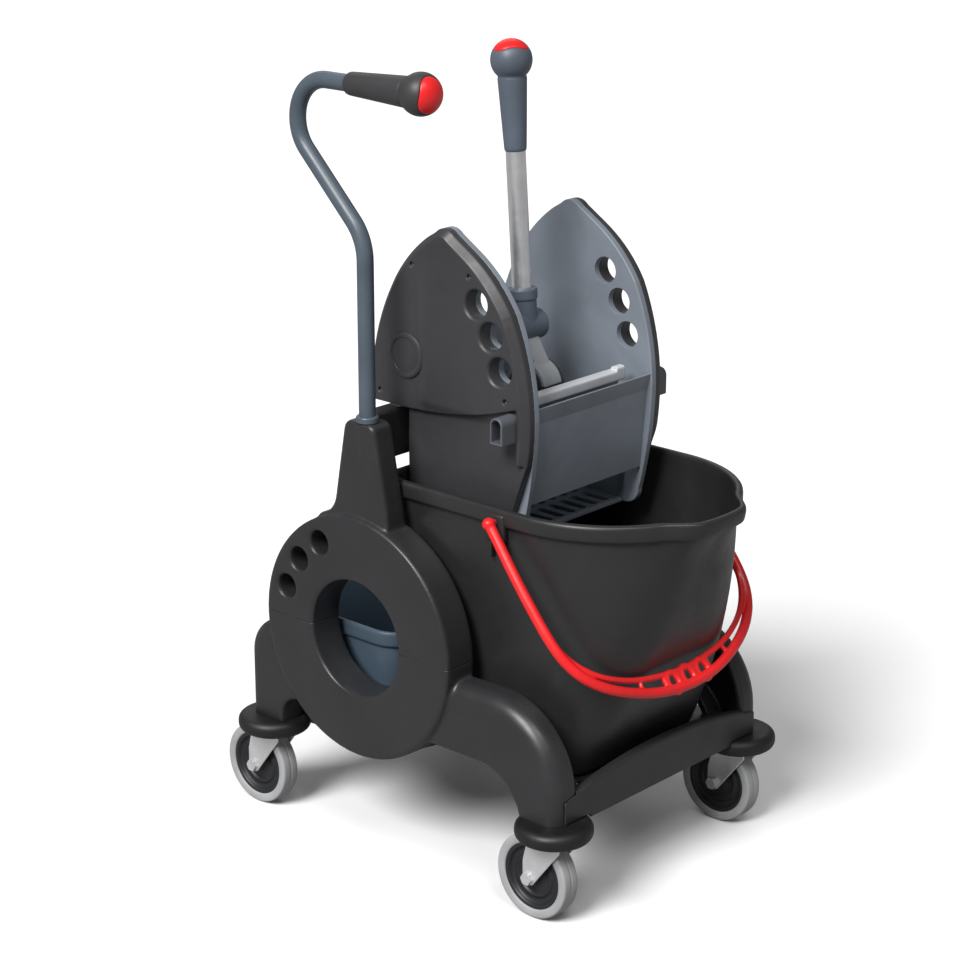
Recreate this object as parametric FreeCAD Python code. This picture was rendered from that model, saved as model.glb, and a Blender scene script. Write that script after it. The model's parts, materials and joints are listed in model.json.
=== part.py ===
import FreeCAD, Part
import math
import os

# Mop trolley: one large bucket and one small bucket on a castor frame, with a lever-operated
# wringer standing over the large bucket.  Millimetres.  X is the width, -Y is the front (the end
# with the bail), +Z is up.  Everything is drawn about the centre of the four castors, and moved by
# FRAME_SHIFT at export so that the origin is the middle of the footprint on the ground.

# ---- castors ------------------------------------------------------------------------------------
WHEEL_R = 50.0
TYRE_INNER_R = 39.0
TYRE_WIDTH = 23.0
TYRE_SHOULDER = 2.2
TRAIL = 23.4
CASTOR_X = 168.0
CASTOR_Y = 222.7
AXLE_R = 4.0
RUNNING_GAP = 0.05
FORK_GAP = 13.0
FORK_SHEET = 2.5
CROWN_R = 30.0
CROWN_Z = 101.5
CROWN_THICK = 3.0
KINGPIN_R = 5.0

# ---- frame --------------------------------------------------------------------------------------
BUMPER_R = 44.0
BUMPER_Z = 102.0
BUMPER_H = 20.0
FACE_X = 193.0
LEG_X = 186.0
INNER_X = 148.0
RING_Y = 59.0
RING_Z = 267.5
RING_R = 145.4
RING_HOLE_R = 68.8
POCKET_R = 14.0
POCKET_PITCH_R = 117.0
POCKET_ANGLES = (18.3, 39.9, 61.6)
POCKET_DEPTH = 30.0
TOWER_X = 154.0
TOWER_TOP = 525.0
TRAY_TOP = 128.0
TRAY_BOTTOM = 112.0
FRONT_BEAM_Y = -242.5
BEAM_THICK = 14.0
REAR_BEAM_Y = 244.0
BLOCK_TOP = 143.0
BLOCK_Y = (10.0, 50.0)
TONGUE_HALF = 102.0
TONGUE_BOTTOM = 134.0
CROSSBEAM_Y = (60.0, 85.0)
CROSSBEAM_Z = (468.0, 525.0)

# ---- push handle --------------------------------------------------------------------------------
HANDLE_X = 175.0
HANDLE_Y = 50.0
HANDLE_TUBE_R = 9.5
HANDLE_BEND_R = 46.0
HANDLE_BACK_Y = 151.4
HANDLE_TOP_Z = 899.3
SOCKET_DEPTH = 50.0
SOCKET_R = 9.6

# ---- buckets ------------------------------------------------------------------------------------
RIM_Z = 455.0
RIM_BAND = 18.0
RIM_HALF = 151.0
RIM_LIP = 6.0
BUCKET_REAR = 62.0
BUCKET_FRONT = -303.0
BUCKET_CORNER = (145.0, 152.0)
BUCKET_WALL = 3.0
BUCKET_FLOOR = 4.0
SPOUT_FRONT = -322.0
SPOUT_HALF = 46.0
# Outside of the drafted walls: height, half width, rear, front, front corner (width, depth).
BUCKET_SECTIONS = ((437.0, 145.0, 56.0, -297.0, (140.0, 146.0)),
                   (250.0, 130.0, 37.0, -253.0, (74.0, 72.0)),
                   (143.0, 121.0, 26.0, -203.0, (36.0, 36.0)))
SMALL_RIM_Z = 257.0
SMALL_HALF = 140.0
SMALL_Y = (42.0, 235.0)
SMALL_FLOOR_Z = 134.3
SMALL_WALL = 2.5

# ---- bail ---------------------------------------------------------------------------------------
BAIL_PIVOT = (-120.0, 440.0)
BAIL_X = 161.5
BAIL_R = 6.2
BAIL_REST = math.radians(40.5)
BAIL_REACH = 258.0
BAIL_RAIL = 240.0

# ---- wringer ------------------------------------------------------------------------------------
PLATE_IN = 97.0
PLATE_OUT = 105.0
COVER_LOW = 115.0
COVER_OUT = 121.0
SHIELD_BEVEL = 8.0
OGIVE_FRONT = -136.5
OGIVE_REAR = 103.0
OGIVE_APEX = (-11.0, 742.6)
OGIVE_WIDE_Z = 545.0
SHIELD_REAR_Z = 531.0
PLATE_REAR = 44.0
WRINGER_BOTTOM = 397.0
FINGER_HOLES = ((-65.0, 668.0), (-86.0, 635.0), (-99.0, 598.0))
FINGER_HOLE_R = 15.5
COVER_SCREWS = ((32.0, 697.0), (-54.0, 697.0), (83.0, 544.0), (-107.0, 566.0))
PIVOT = (-45.0, 550.0)
SHAFT_R = 8.0
DRUM_R = 26.0
BUSH_R = 12.0
BOSS_R = 19.0
BOSS_X = -82.0
PEG_END = 143.0
LEVER_LEAN = math.radians(3.9)
LEVER_FOOT = (-27.0, 614.0)
JAW_HALF = 76.0
GRIP_BALL_R = 23.5
CAP_OFFSET = 13.0

# The box of the whole object runs from the spout to the back of the rear tyres.
REAR_EXTENT = CASTOR_Y + TRAIL + WHEEL_R
FRAME_SHIFT = FreeCAD.Vector(0, -(SPOUT_FRONT + REAR_EXTENT) / 2, 0)

X_AXIS = FreeCAD.Vector(1, 0, 0)
Y_AXIS = FreeCAD.Vector(0, 1, 0)
Z_AXIS = FreeCAD.Vector(0, 0, 1)

SIDES = (("left", -1), ("right", 1))


def vec(x, y, z):
    return FreeCAD.Vector(x, y, z)


def box(x0, x1, y0, y1, z0, z1):
    return Part.makeBox(x1 - x0, y1 - y0, z1 - z0, vec(x0, y0, z0))


def rod(radius, start, end):
    return Part.makeCylinder(radius, (end - start).Length, start, end - start)


def rod_x(radius, y, z, x0, x1):
    return rod(radius, vec(x0, y, z), vec(x1, y, z))


def fuse(shapes):
    return shapes[0].multiFuse(shapes[1:]).removeSplitter()


def mirror_x(shape):
    return shape.mirror(vec(0, 0, 0), X_AXIS)


def on_side(shape, sign):
    """A shape drawn on the left (-X), for the side that is asked for."""
    return shape if sign < 0 else mirror_x(shape)


def rounded(shape, radius, chosen):
    """Fillet the edges for which chosen(centre, edge) is true."""
    edges = [e for e in shape.Edges if chosen(e.CenterOfMass, e)]
    return shape.makeFillet(radius, edges) if edges else shape


def along(edge, axis):
    """True for a straight edge parallel to the axis."""
    if edge.Curve.TypeId != "Part::GeomLine":
        return False
    return abs(edge.Curve.Direction.dot(axis)) > 0.999


def profile_yz(start, steps, x=0.0):
    """Closed wire in a YZ plane.  A step is an end point, or (through, end) for an arc."""
    def lift(p):
        return vec(x, p[0], p[1])
    edges = []
    here = start
    for step in steps:
        if isinstance(step[0], tuple):
            edges.append(Part.Arc(lift(here), lift(step[0]), lift(step[1])).toShape())
            here = step[1]
        else:
            edges.append(Part.makeLine(lift(here), lift(step)))
            here = step
    if math.dist(here, start) > 1e-6:
        edges.append(Part.makeLine(lift(here), lift(start)))
    return Part.Wire(edges)


def slab(start, steps, x0, x1):
    """A YZ profile given thickness from x0 to x1."""
    face = Part.Face(profile_yz(start, steps, x0))
    return face.extrude(vec(x1 - x0, 0, 0))


def lathe(points, origin, direction):
    """Solid of revolution: points are (radius, distance along the axis)."""
    wire = Part.makePolygon([vec(r, 0, h) for r, h in points] + [vec(points[0][0], 0, points[0][1])])
    solid = Part.Face(wire).revolve(vec(0, 0, 0), Z_AXIS, 360)
    turn = FreeCAD.Rotation(Z_AXIS, direction)
    solid.Placement = FreeCAD.Placement(origin, turn)
    return solid


def tube_path(points, radii):
    """Wire of straight runs joined by tangent arcs; radii are for the inner points."""
    edges = []
    here = points[0]
    for i in range(1, len(points) - 1):
        corner = points[i]
        a = (points[i - 1] - corner).normalize()
        b = (points[i + 1] - corner).normalize()
        half = a.getAngle(b) / 2
        reach = radii[i - 1] / math.tan(half)
        first = corner + a * reach
        last = corner + b * reach
        bisector = (a + b).normalize()
        middle = corner + bisector * (radii[i - 1] / math.sin(half) - radii[i - 1])
        edges.append(Part.makeLine(here, first))
        edges.append(Part.Arc(first, middle, last).toShape())
        here = last
    edges.append(Part.makeLine(here, points[-1]))
    return Part.Wire(edges)


def sweep_round(path, radius):
    """A round bar along a wire."""
    start = path.Edges[0].firstVertex().Point
    ahead = path.Edges[0].tangentAt(path.Edges[0].FirstParameter)
    ring = Part.Wire([Part.makeCircle(radius, start, ahead)])
    return path.makePipeShell([ring], True, False)


# ---- castors ------------------------------------------------------------------------------------
def castor_plate(x, y):
    """Round top plate with the upper ball race under it, fixed to the frame."""
    plate = Part.makeCylinder(CROWN_R, 2.5, vec(x, y, 109.5))
    race = Part.makeCone(25, 22, 4.7, vec(x, y, 104.8))
    hole = Part.makeCylinder(KINGPIN_R, 10, vec(x, y, 103))
    return fuse([plate, race]).cut(hole)


def castor_kingpin(x, y):
    """Riveted pin that holds the fork up against the plate."""
    shank = Part.makeCylinder(KINGPIN_R, 19, vec(x, y, 101))
    head = Part.makeCone(6.5, 8, 2.3, vec(x, y, 98.8))
    return fuse([shank, head])


def castor_fork(x, y):
    """Pressed steel fork: crown disc, two tapered legs and a stiffening skirt."""
    crown = Part.makeCylinder(CROWN_R, CROWN_THICK, vec(x, y, CROWN_Z))
    crown = rounded(crown, 1.2, lambda c, e: c.z > CROWN_Z + CROWN_THICK - 0.1 and e.Length > 100)
    axle_y = y + TRAIL
    leg = slab((y - 20, CROWN_Z + 1),
               [(y - 20, 92), (axle_y - 8.2, 46),
                ((axle_y, 41), (axle_y + 9, 50)),
                (axle_y + 9, 70), (y + 26, 96), (y + 26, CROWN_Z + 1)],
               x + FORK_GAP, x + FORK_GAP + FORK_SHEET)
    leg = rounded(leg, 1.0, lambda c, e: c.x > x + FORK_GAP + FORK_SHEET - 0.1 and c.z < 99)
    other = leg.mirror(vec(x, 0, 0), X_AXIS)
    solid = fuse([crown, leg, other])
    solid = solid.cut(Part.makeCylinder(KINGPIN_R + RUNNING_GAP, 10, vec(x, y, 98)))
    return solid.cut(rod_x(AXLE_R, axle_y, WHEEL_R, x - 20, x + 20))


def castor_axle(x, y):
    """Hexagon-headed axle bolt with its nut."""
    axle_y = y + TRAIL
    outer = FORK_GAP + FORK_SHEET
    shank = rod_x(AXLE_R, axle_y, WHEEL_R, x - outer, x + outer + 7.5)
    hexagon = [vec(0, 7.5 * math.cos(math.radians(60 * k)), 7.5 * math.sin(math.radians(60 * k)))
               for k in range(7)]
    head_face = Part.Face(Part.makePolygon(hexagon))
    crop = rod_x(7.9, 0, 0, 0, 5.5)
    crop = rounded(crop, 1.6, lambda c, e: c.x < 0.1 and e.Length > 20)
    head = head_face.extrude(vec(5.5, 0, 0)).common(crop)
    head.translate(vec(x - outer - 5.5, axle_y, WHEEL_R))
    nut = head_face.extrude(vec(5.0, 0, 0))
    nut.translate(vec(x + outer, axle_y, WHEEL_R))
    return fuse([shank, head, nut])


def castor_hub(x, y):
    """Ringed plastic wheel centre with a long boss."""
    r0 = AXLE_R + RUNNING_GAP
    half = [(r0, 0), (r0, 12.3), (10, 12.3), (11, 6), (22, 4), (23, 6.5), (26, 6.5), (27, 4),
            (33, 4.5), (35, 9.5), (TYRE_INNER_R, 9.5), (TYRE_INNER_R, 0)]
    points = half + [(r, -h) for r, h in reversed(half[1:-1])]
    return lathe(points, vec(x, y + TRAIL, WHEEL_R), X_AXIS)


def castor_tyre(x, y):
    """Grey rubber tyre with rounded shoulders."""
    half = TYRE_WIDTH / 2
    tyre = rod_x(WHEEL_R, y + TRAIL, WHEEL_R, x - half, x + half)
    tyre = rounded(tyre, TYRE_SHOULDER, lambda c, e: e.Length > 100)
    return tyre.cut(rod_x(TYRE_INNER_R, y + TRAIL, WHEEL_R, x - half - 1, x + half + 1))


# ---- frame --------------------------------------------------------------------------------------
def corner_bumper(x, y):
    """Soft round bumper above a castor, hollow underneath for the fork crown and top plate."""
    disc = Part.makeCylinder(BUMPER_R, BUMPER_H, vec(x, y, BUMPER_Z))
    disc = rounded(disc, 8.5, lambda c, e: c.z < BUMPER_Z + 0.1)
    disc = rounded(disc, 8.5, lambda c, e: c.z > BUMPER_Z + BUMPER_H - 0.1 and e.Length > 100)
    pocket = Part.makeCylinder(CROWN_R + 1.5, 10.5, vec(x, y, BUMPER_Z - 0.5))
    pin_hole = Part.makeCylinder(KINGPIN_R, BUMPER_H, vec(x, y, BUMPER_Z))
    return disc.cut(pocket).cut(pin_hole)


def side_frame():
    """Whole left side: ring, two arched legs and the tower."""
    ring = rod_x(RING_R, RING_Y, RING_Z, -FACE_X, -INNER_X)
    ring = rounded(ring, 4.0, lambda c, e: e.Length > 300)
    front_leg = slab((-60, 250),
                     [(-140, 252), ((-210.7, 222.7), (-240, 152)), (-240, 116),
                      (-187, 116), ((-168.8, 150.8), (-125, 169)), (-20, 169)],
                     -LEG_X, -INNER_X - 2)
    front_leg = rounded(front_leg, 20.0, lambda c, e: c.x < -LEG_X + 0.1 and c.y < -60 and
                        (c.y < -230 or c.z > 200))
    front_leg = rounded(front_leg, 4.0, lambda c, e: c.x > -INNER_X - 2.1 and c.y < -60 and
                        (c.y < -230 or c.z > 200))
    rear_leg = slab((150, 250),
                    [(194, 250), ((229, 237), (REAR_BEAM_Y, 202)), (REAR_BEAM_Y, 116),
                     (192, 116), (192, 128), ((184, 149), (162, 158)), (120, 158)],
                    -LEG_X, -INNER_X - 2)
    rear_leg = rounded(rear_leg, 12.0, lambda c, e: c.x < -LEG_X + 0.1 and c.y > 195)
    rear_leg = rounded(rear_leg, 4.0, lambda c, e: c.x > -INNER_X - 2.1 and c.y > 195)
    keep_out = rod_x(RING_R + 8, RING_Y, RING_Z, -FACE_X, 0)
    front_hollow = leg_recess((-70, 243), [(-140, 243), ((-204.5, 216.5), (-231, 152)), (-231, 125),
                                           (-196, 125), ((-175.2, 157.2), (-125, 178)), (-70, 178)])
    front_leg = front_leg.cut(front_hollow.cut(keep_out))
    rear_hollow = leg_recess((150, 241), [(194, 241), ((223, 230), (235, 202)), (235, 125), (201, 125),
                                          (201, 130), ((192, 155), (150, 167))])
    rear_leg = rear_leg.cut(rear_hollow.cut(keep_out))
    tower = slab((10, 390),
                 [(13, 425), (30, 514), ((33.5, 522), (41, TOWER_TOP)), (68, TOWER_TOP),
                  ((75, 522), (79, 514)), (94, 432), ((100, 417), (122, 404)), (118, 380)],
                 -LEG_X, -TOWER_X)
    tower = rounded(tower, 5.0, lambda c, e: c.z > 414 and abs(c.x + 170) > 10)
    solid = fuse([ring, front_leg, rear_leg, tower])
    solid = solid.cut(rod_x(RING_HOLE_R, RING_Y, RING_Z, -FACE_X - 1, -INNER_X + 1))
    solid = rounded(solid, 3.0, lambda c, e: abs(e.Length - 2 * math.pi * RING_HOLE_R) < 1 and
                    c.x < -FACE_X + 1)
    for angle in POCKET_ANGLES:
        a = math.radians(angle)
        y = RING_Y + POCKET_PITCH_R * math.cos(a)
        z = RING_Z + POCKET_PITCH_R * math.sin(a)
        pocket = rod_x(POCKET_R, y, z, -FACE_X - 1, -FACE_X + POCKET_DEPTH)
        mouth = Part.makeCone(POCKET_R + 2, POCKET_R, 2, vec(-FACE_X, y, z), X_AXIS)
        solid = solid.cut(pocket.fuse(mouth))
    for end in (-1, 1):
        solid = solid.cut(Part.makeCylinder(KINGPIN_R, 25, vec(-CASTOR_X, end * CASTOR_Y, 96)))
    socket_floor = vec(-HANDLE_X, HANDLE_Y, TOWER_TOP - SOCKET_DEPTH)
    return solid.cut(Part.makeCylinder(SOCKET_R, SOCKET_DEPTH, socket_floor))


def leg_recess(start, steps):
    """The legs are shells: this is the hollow on their inner side."""
    return slab(start, steps, -INNER_X - 26, -INNER_X + 1)


def side_halves():
    """The side is two mouldings that meet at the height of the ring's centre."""
    whole = side_frame()
    lower_space = box(-260, 0, -300, 300, 0, RING_Z)
    return whole.common(lower_space), whole.cut(lower_space)


def bumper_room():
    """Space that the four bumpers take up under the tray and the beams."""
    rooms = []
    for x in (-CASTOR_X, CASTOR_X):
        for y in (-CASTOR_Y, CASTOR_Y):
            rooms.append(Part.makeCylinder(BUMPER_R, BUMPER_H + 0.3, vec(x, y, BUMPER_Z)))
    return Part.makeCompound(rooms)


def ribbed(half, y0, y1, z0, z1, bays_x, bays_y):
    """Plate with a 4 mm skin on top and crossing 4 mm ribs underneath."""
    rib = 4.0
    plate = box(-half, half, y0, y1, z0, z1)
    bay_x = (2 * half - rib) / bays_x - rib
    bay_y = (y1 - y0 - rib) / bays_y - rib
    for i in range(bays_x):
        for j in range(bays_y):
            x = -half + rib + i * (bay_x + rib)
            y = y0 + rib + j * (bay_y + rib)
            plate = plate.cut(box(x, x + bay_x, y, y + bay_y, z0 - 1, z1 - rib))
    return plate


def base_tray():
    """Moulded floor between the sides: a tongue and a block under the large bucket, and a lower deck
    with two rails for the small bucket."""
    tongue = ribbed(TONGUE_HALF, FRONT_BEAM_Y + BEAM_THICK, BLOCK_Y[0], TONGUE_BOTTOM, BLOCK_TOP, 2, 2)
    block = ribbed(INNER_X, BLOCK_Y[0], BLOCK_Y[1], TRAY_BOTTOM, BLOCK_TOP, 3, 1)
    deck_end = REAR_BEAM_Y - BEAM_THICK + 1
    deck = ribbed(INNER_X, BLOCK_Y[1], deck_end, TRAY_BOTTOM, TRAY_TOP, 3, 2)
    rails = [box(x - 6, x + 6, 60, deck_end, TRAY_TOP, SMALL_FLOOR_Z - 0.3) for x in (-106, 106)]
    return fuse([tongue, block, deck] + rails).cut(bumper_room())


def front_beam():
    """Apron across the front legs with an arched top, in front of the large bucket's foot."""
    half = LEG_X - 14
    low, shoulder, crest = 118, 150, 171
    y = FRONT_BEAM_Y
    edges = [Part.makeLine(vec(-half, y, low), vec(half, y, low)),
             Part.makeLine(vec(half, y, low), vec(half, y, shoulder)),
             Part.Arc(vec(half, y, shoulder), vec(0, y, crest), vec(-half, y, shoulder)).toShape(),
             Part.makeLine(vec(-half, y, shoulder), vec(-half, y, low))]
    beam = Part.Face(Part.Wire(edges)).extrude(vec(0, BEAM_THICK, 0))
    beam = rounded(beam, 4.0, lambda c, e: c.z > shoulder + 2 and e.Length > 200)
    return beam.cut(side_frame_feet()).cut(bumper_room())


def side_frame_feet():
    """Room that the front legs take up at both ends of the front beam."""
    foot = slab((-240.5, 100), [(-240.5, 175), (-180, 175), (-180, 100)], -LEG_X - 1, -INNER_X - 2)
    return fuse([foot, mirror_x(foot)])


def rear_beam():
    beam = box(-INNER_X, INNER_X, REAR_BEAM_Y - BEAM_THICK + 1, REAR_BEAM_Y, TRAY_BOTTOM, SMALL_FLOOR_Z - 1.3)
    beam = rounded(beam, 3.0, lambda c, e: along(e, X_AXIS) and c.z > 125 and c.y > REAR_BEAM_Y - 1)
    return beam.cut(bumper_room())


def wringer_crossbeam():
    """Hollow bar between the towers that carries the wringer."""
    y0, y1 = CROSSBEAM_Y
    z0, z1 = CROSSBEAM_Z
    beam = box(-TOWER_X, TOWER_X, y0, y1, z0, z1)
    beam = rounded(beam, 4.0, lambda c, e: along(e, X_AXIS))
    return beam.cut(box(-TOWER_X + 6, TOWER_X - 6, y0 + 4, y1 - 4, z0 - 1, z1 - 5))


# ---- push handle --------------------------------------------------------------------------------
def handle_points():
    """Corners of the push handle's centre line: up, leaning back at 45 degrees, and over to the front."""
    lean_start = TOWER_TOP + 207
    lean_end = lean_start + HANDLE_BACK_Y - HANDLE_Y
    flat = [(HANDLE_Y, TOWER_TOP - SOCKET_DEPTH), (HANDLE_Y, lean_start), (HANDLE_BACK_Y, lean_end),
            (HANDLE_BACK_Y, HANDLE_TOP_Z), (62, HANDLE_TOP_Z)]
    return [vec(-HANDLE_X, y, z) for y, z in flat]


def push_handle_tube():
    path = tube_path(handle_points(), [60, HANDLE_BEND_R, HANDLE_BEND_R])
    return sweep_round(path, HANDLE_TUBE_R)


def push_handle_collar():
    ring = Part.makeCylinder(13, 7, vec(-HANDLE_X, HANDLE_Y, TOWER_TOP))
    ring = rounded(ring, 2.5, lambda c, e: c.z > TOWER_TOP + 6 and e.Length > 50)
    return ring.cut(Part.makeCylinder(HANDLE_TUBE_R, 20, vec(-HANDLE_X, HANDLE_Y, TOWER_TOP - 5)))


def grip_and_cap(neck_r, belly_r, ball_h, origin, direction):
    """Tapered grip ending in a ball whose centre is ball_h up, and the cap that forms the ball's end."""
    seam = ball_h - 18
    body = [(0, 0), (neck_r - 1.5, 0), (neck_r, 4), (belly_r, seam), (0, seam)]
    taper = lathe(body, vec(0, 0, 0), Z_AXIS)
    ball = Part.makeSphere(GRIP_BALL_R, vec(0, 0, ball_h))
    whole = fuse([taper, ball])
    cap_space = Part.makeCylinder(40, 40, vec(0, 0, ball_h + CAP_OFFSET))
    cap = Part.makeSphere(GRIP_BALL_R, vec(0, 0, ball_h)).common(cap_space)
    grip = whole.cut(cap_space)
    placement = FreeCAD.Placement(origin, FreeCAD.Rotation(Z_AXIS, direction))
    for shape in (grip, cap):
        shape.Placement = placement
    return grip, cap


def push_handle_grip():
    bore_end = vec(-HANDLE_X, 62, HANDLE_TOP_Z)
    grip, cap = grip_and_cap(13.0, 17.0, 105, vec(-HANDLE_X, 69, HANDLE_TOP_Z), -Y_AXIS)
    bore = rod(HANDLE_TUBE_R, bore_end, bore_end + vec(0, 30, 0))
    return grip.cut(bore), cap


# ---- buckets ------------------------------------------------------------------------------------
def plan_wire(half, rear, front, nose, z):
    """Plan of the large bucket: round rear corners, flat sides and elliptical front corners."""
    corner = 30.0
    k = corner * (1 - math.sqrt(0.5))
    side_end = front + nose[1]
    flat = half - nose[0]
    lean = math.sqrt(0.5)

    def front_corner(sign):
        middle = vec(sign * (flat + nose[0] * lean), side_end - nose[1] * lean, z)
        return ellipse_corner(vec(sign * half, side_end, z), middle, vec(sign * flat, front, z), nose)
    edges = [Part.makeLine(vec(-half + corner, rear, z), vec(half - corner, rear, z)),
             Part.Arc(vec(half - corner, rear, z), vec(half - k, rear - k, z),
                      vec(half, rear - corner, z)).toShape(),
             Part.makeLine(vec(half, rear - corner, z), vec(half, side_end, z)),
             front_corner(1),
             Part.makeLine(vec(flat, front, z), vec(-flat, front, z)),
             front_corner(-1),
             Part.makeLine(vec(-half, side_end, z), vec(-half, rear - corner, z)),
             Part.Arc(vec(-half, rear - corner, z), vec(-half + k, rear - k, z),
                      vec(-half + corner, rear, z)).toShape()]
    return Part.Wire(edges)


def ellipse_corner(side, middle, nose_end, radii):
    """Quarter of an ellipse through three points, as a smooth curve tangent to side and front."""
    curve = Part.BSplineCurve()
    curve.interpolate(Points=[side, middle, nose_end],
                      Tangents=[vec(0, -radii[1] * math.pi / 2, 0),
                                (nose_end - side) * (math.pi / 2 * math.sqrt(0.5)),
                                vec(math.copysign(radii[0] * math.pi / 2, nose_end.x - side.x), 0, 0)],
                      TangentFlags=[True, True, True],
                      Parameters=[0, 0.5, 1])
    return curve.toShape()


def bucket_section(section, inset, z=None):
    """Plan of the drafted wall at one section, moved in by inset; z replaces the section's height."""
    height, half, rear, front, nose = section
    inner_nose = (nose[0] - inset, nose[1] - inset)
    return plan_wire(half - inset, rear - inset, front + inset, inner_nose, height if z is None else z)


def spout(inset, z0, z1):
    """Wedge that widens the front of the bucket into a pouring lip."""
    reach = SPOUT_FRONT + inset
    half = SPOUT_HALF - inset
    back = BUCKET_FRONT + 40

    def section(z, out, h):
        a = vec(-h - 14, back, z)
        b = vec(-h, BUCKET_FRONT + 12 + inset, z)
        m = vec(0, out, z)
        c = vec(h, BUCKET_FRONT + 12 + inset, z)
        d = vec(h + 14, back, z)
        return Part.Wire([Part.makeLine(a, b), Part.Arc(b, m, c).toShape(), Part.makeLine(c, d),
                          Part.makeLine(d, a)])
    foot_out = BUCKET_FRONT + RIM_LIP + inset + 2
    return Part.makeLoft([section(z0, foot_out, half - 14), section(z1, reach, half)], True, True)


def bucket():
    """Large bucket: drafted walls, rim band with a pouring lip, ears for the bail."""
    top, middle, foot = BUCKET_SECTIONS
    body = Part.makeLoft([bucket_section(top, 0), bucket_section(middle, 0), bucket_section(foot, 0)], True)
    hollow = Part.makeLoft([bucket_section(top, BUCKET_WALL, top[0] + 0.5),
                            bucket_section(middle, BUCKET_WALL),
                            bucket_section(foot, BUCKET_WALL, foot[0] + BUCKET_FLOOR)], True)
    band_z = RIM_Z - RIM_BAND

    def rim_prism(inset, z0, height):
        nose = (BUCKET_CORNER[0] - inset, BUCKET_CORNER[1] - inset)
        wire = plan_wire(RIM_HALF - inset, BUCKET_REAR - inset, BUCKET_FRONT + inset, nose, z0)
        return Part.Face(wire).extrude(vec(0, 0, height))
    band = rounded(rim_prism(0, band_z, RIM_BAND), 2.5, lambda c, e: c.z > RIM_Z - 0.1)
    mouth = rim_prism(RIM_LIP + BUCKET_WALL + 1, band_z, RIM_BAND + 3)
    groove = rim_prism(2.5, band_z - 1, RIM_BAND - 3).cut(rim_prism(RIM_LIP - 1, band_z - 1, RIM_BAND))
    lip = spout(0, RIM_Z - 40, RIM_Z)
    solid = fuse([body, band, lip]).cut(hollow).cut(mouth).cut(groove)
    solid = solid.cut(spout(BUCKET_WALL + 1, RIM_Z - 38, RIM_Z + 2))
    y, z = BAIL_PIVOT
    ear = box(-RIM_HALF - 3, -RIM_HALF + 12, y - 13, y + 13, z - 24, z + 10)
    ear = rounded(ear, 3.0, lambda c, e: not along(e, X_AXIS) and c.x < -RIM_HALF - 2.9)
    ear = ear.cut(hollow).cut(mouth)
    hole = rod_x(4.0 + RUNNING_GAP, y, z, -RIM_HALF - 5, -RIM_HALF + 5)
    for sign in (-1, 1):
        solid = solid.fuse(on_side(ear, sign)).cut(on_side(hole, sign))
    return solid.removeSplitter()


def small_outline(inset, z):
    drop = SMALL_RIM_Z - z
    shrink = inset + drop * math.tan(math.radians(5.0))
    half = SMALL_HALF - shrink
    y0, y1 = SMALL_Y[0] + shrink, SMALL_Y[1] - shrink
    corner = 38.0 - inset
    k = corner * (1 - math.sqrt(0.5))
    edges = []
    corners = ((half, y1, -1, -1), (-half, y1, 1, -1), (-half, y0, 1, 1), (half, y0, -1, 1))
    ends = []
    for i, (x, y, sx, sy) in enumerate(corners):
        first = vec(x, y + sy * corner, z)
        last = vec(x + sx * corner, y, z)
        if i % 2:
            first, last = last, first
        edges.append(Part.Arc(first, vec(x + sx * k, y + sy * k, z), last).toShape())
        ends.append((first, last))
    for i in range(4):
        edges.append(Part.makeLine(ends[i][1], ends[(i + 1) % 4][0]))
    return Part.Wire(Part.__sortEdges__(edges))


def rear_bucket():
    """Small bucket with a deep rim band, standing on the rails of the tray."""
    lip = 4.0
    body = Part.makeLoft([small_outline(lip, SMALL_FLOOR_Z), small_outline(lip, SMALL_RIM_Z)], True, True)
    inner = lip + SMALL_WALL
    hollow = Part.makeLoft([small_outline(inner, SMALL_FLOOR_Z + 3), small_outline(inner, SMALL_RIM_Z + 1)],
                           True, True)
    band = Part.makeLoft([small_outline(0.5, SMALL_RIM_Z - 19), small_outline(0, SMALL_RIM_Z)], True, True)
    band = rounded(band, 2.0, lambda c, e: c.z > SMALL_RIM_Z - 0.1)
    return fuse([body, band]).cut(hollow)


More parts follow.
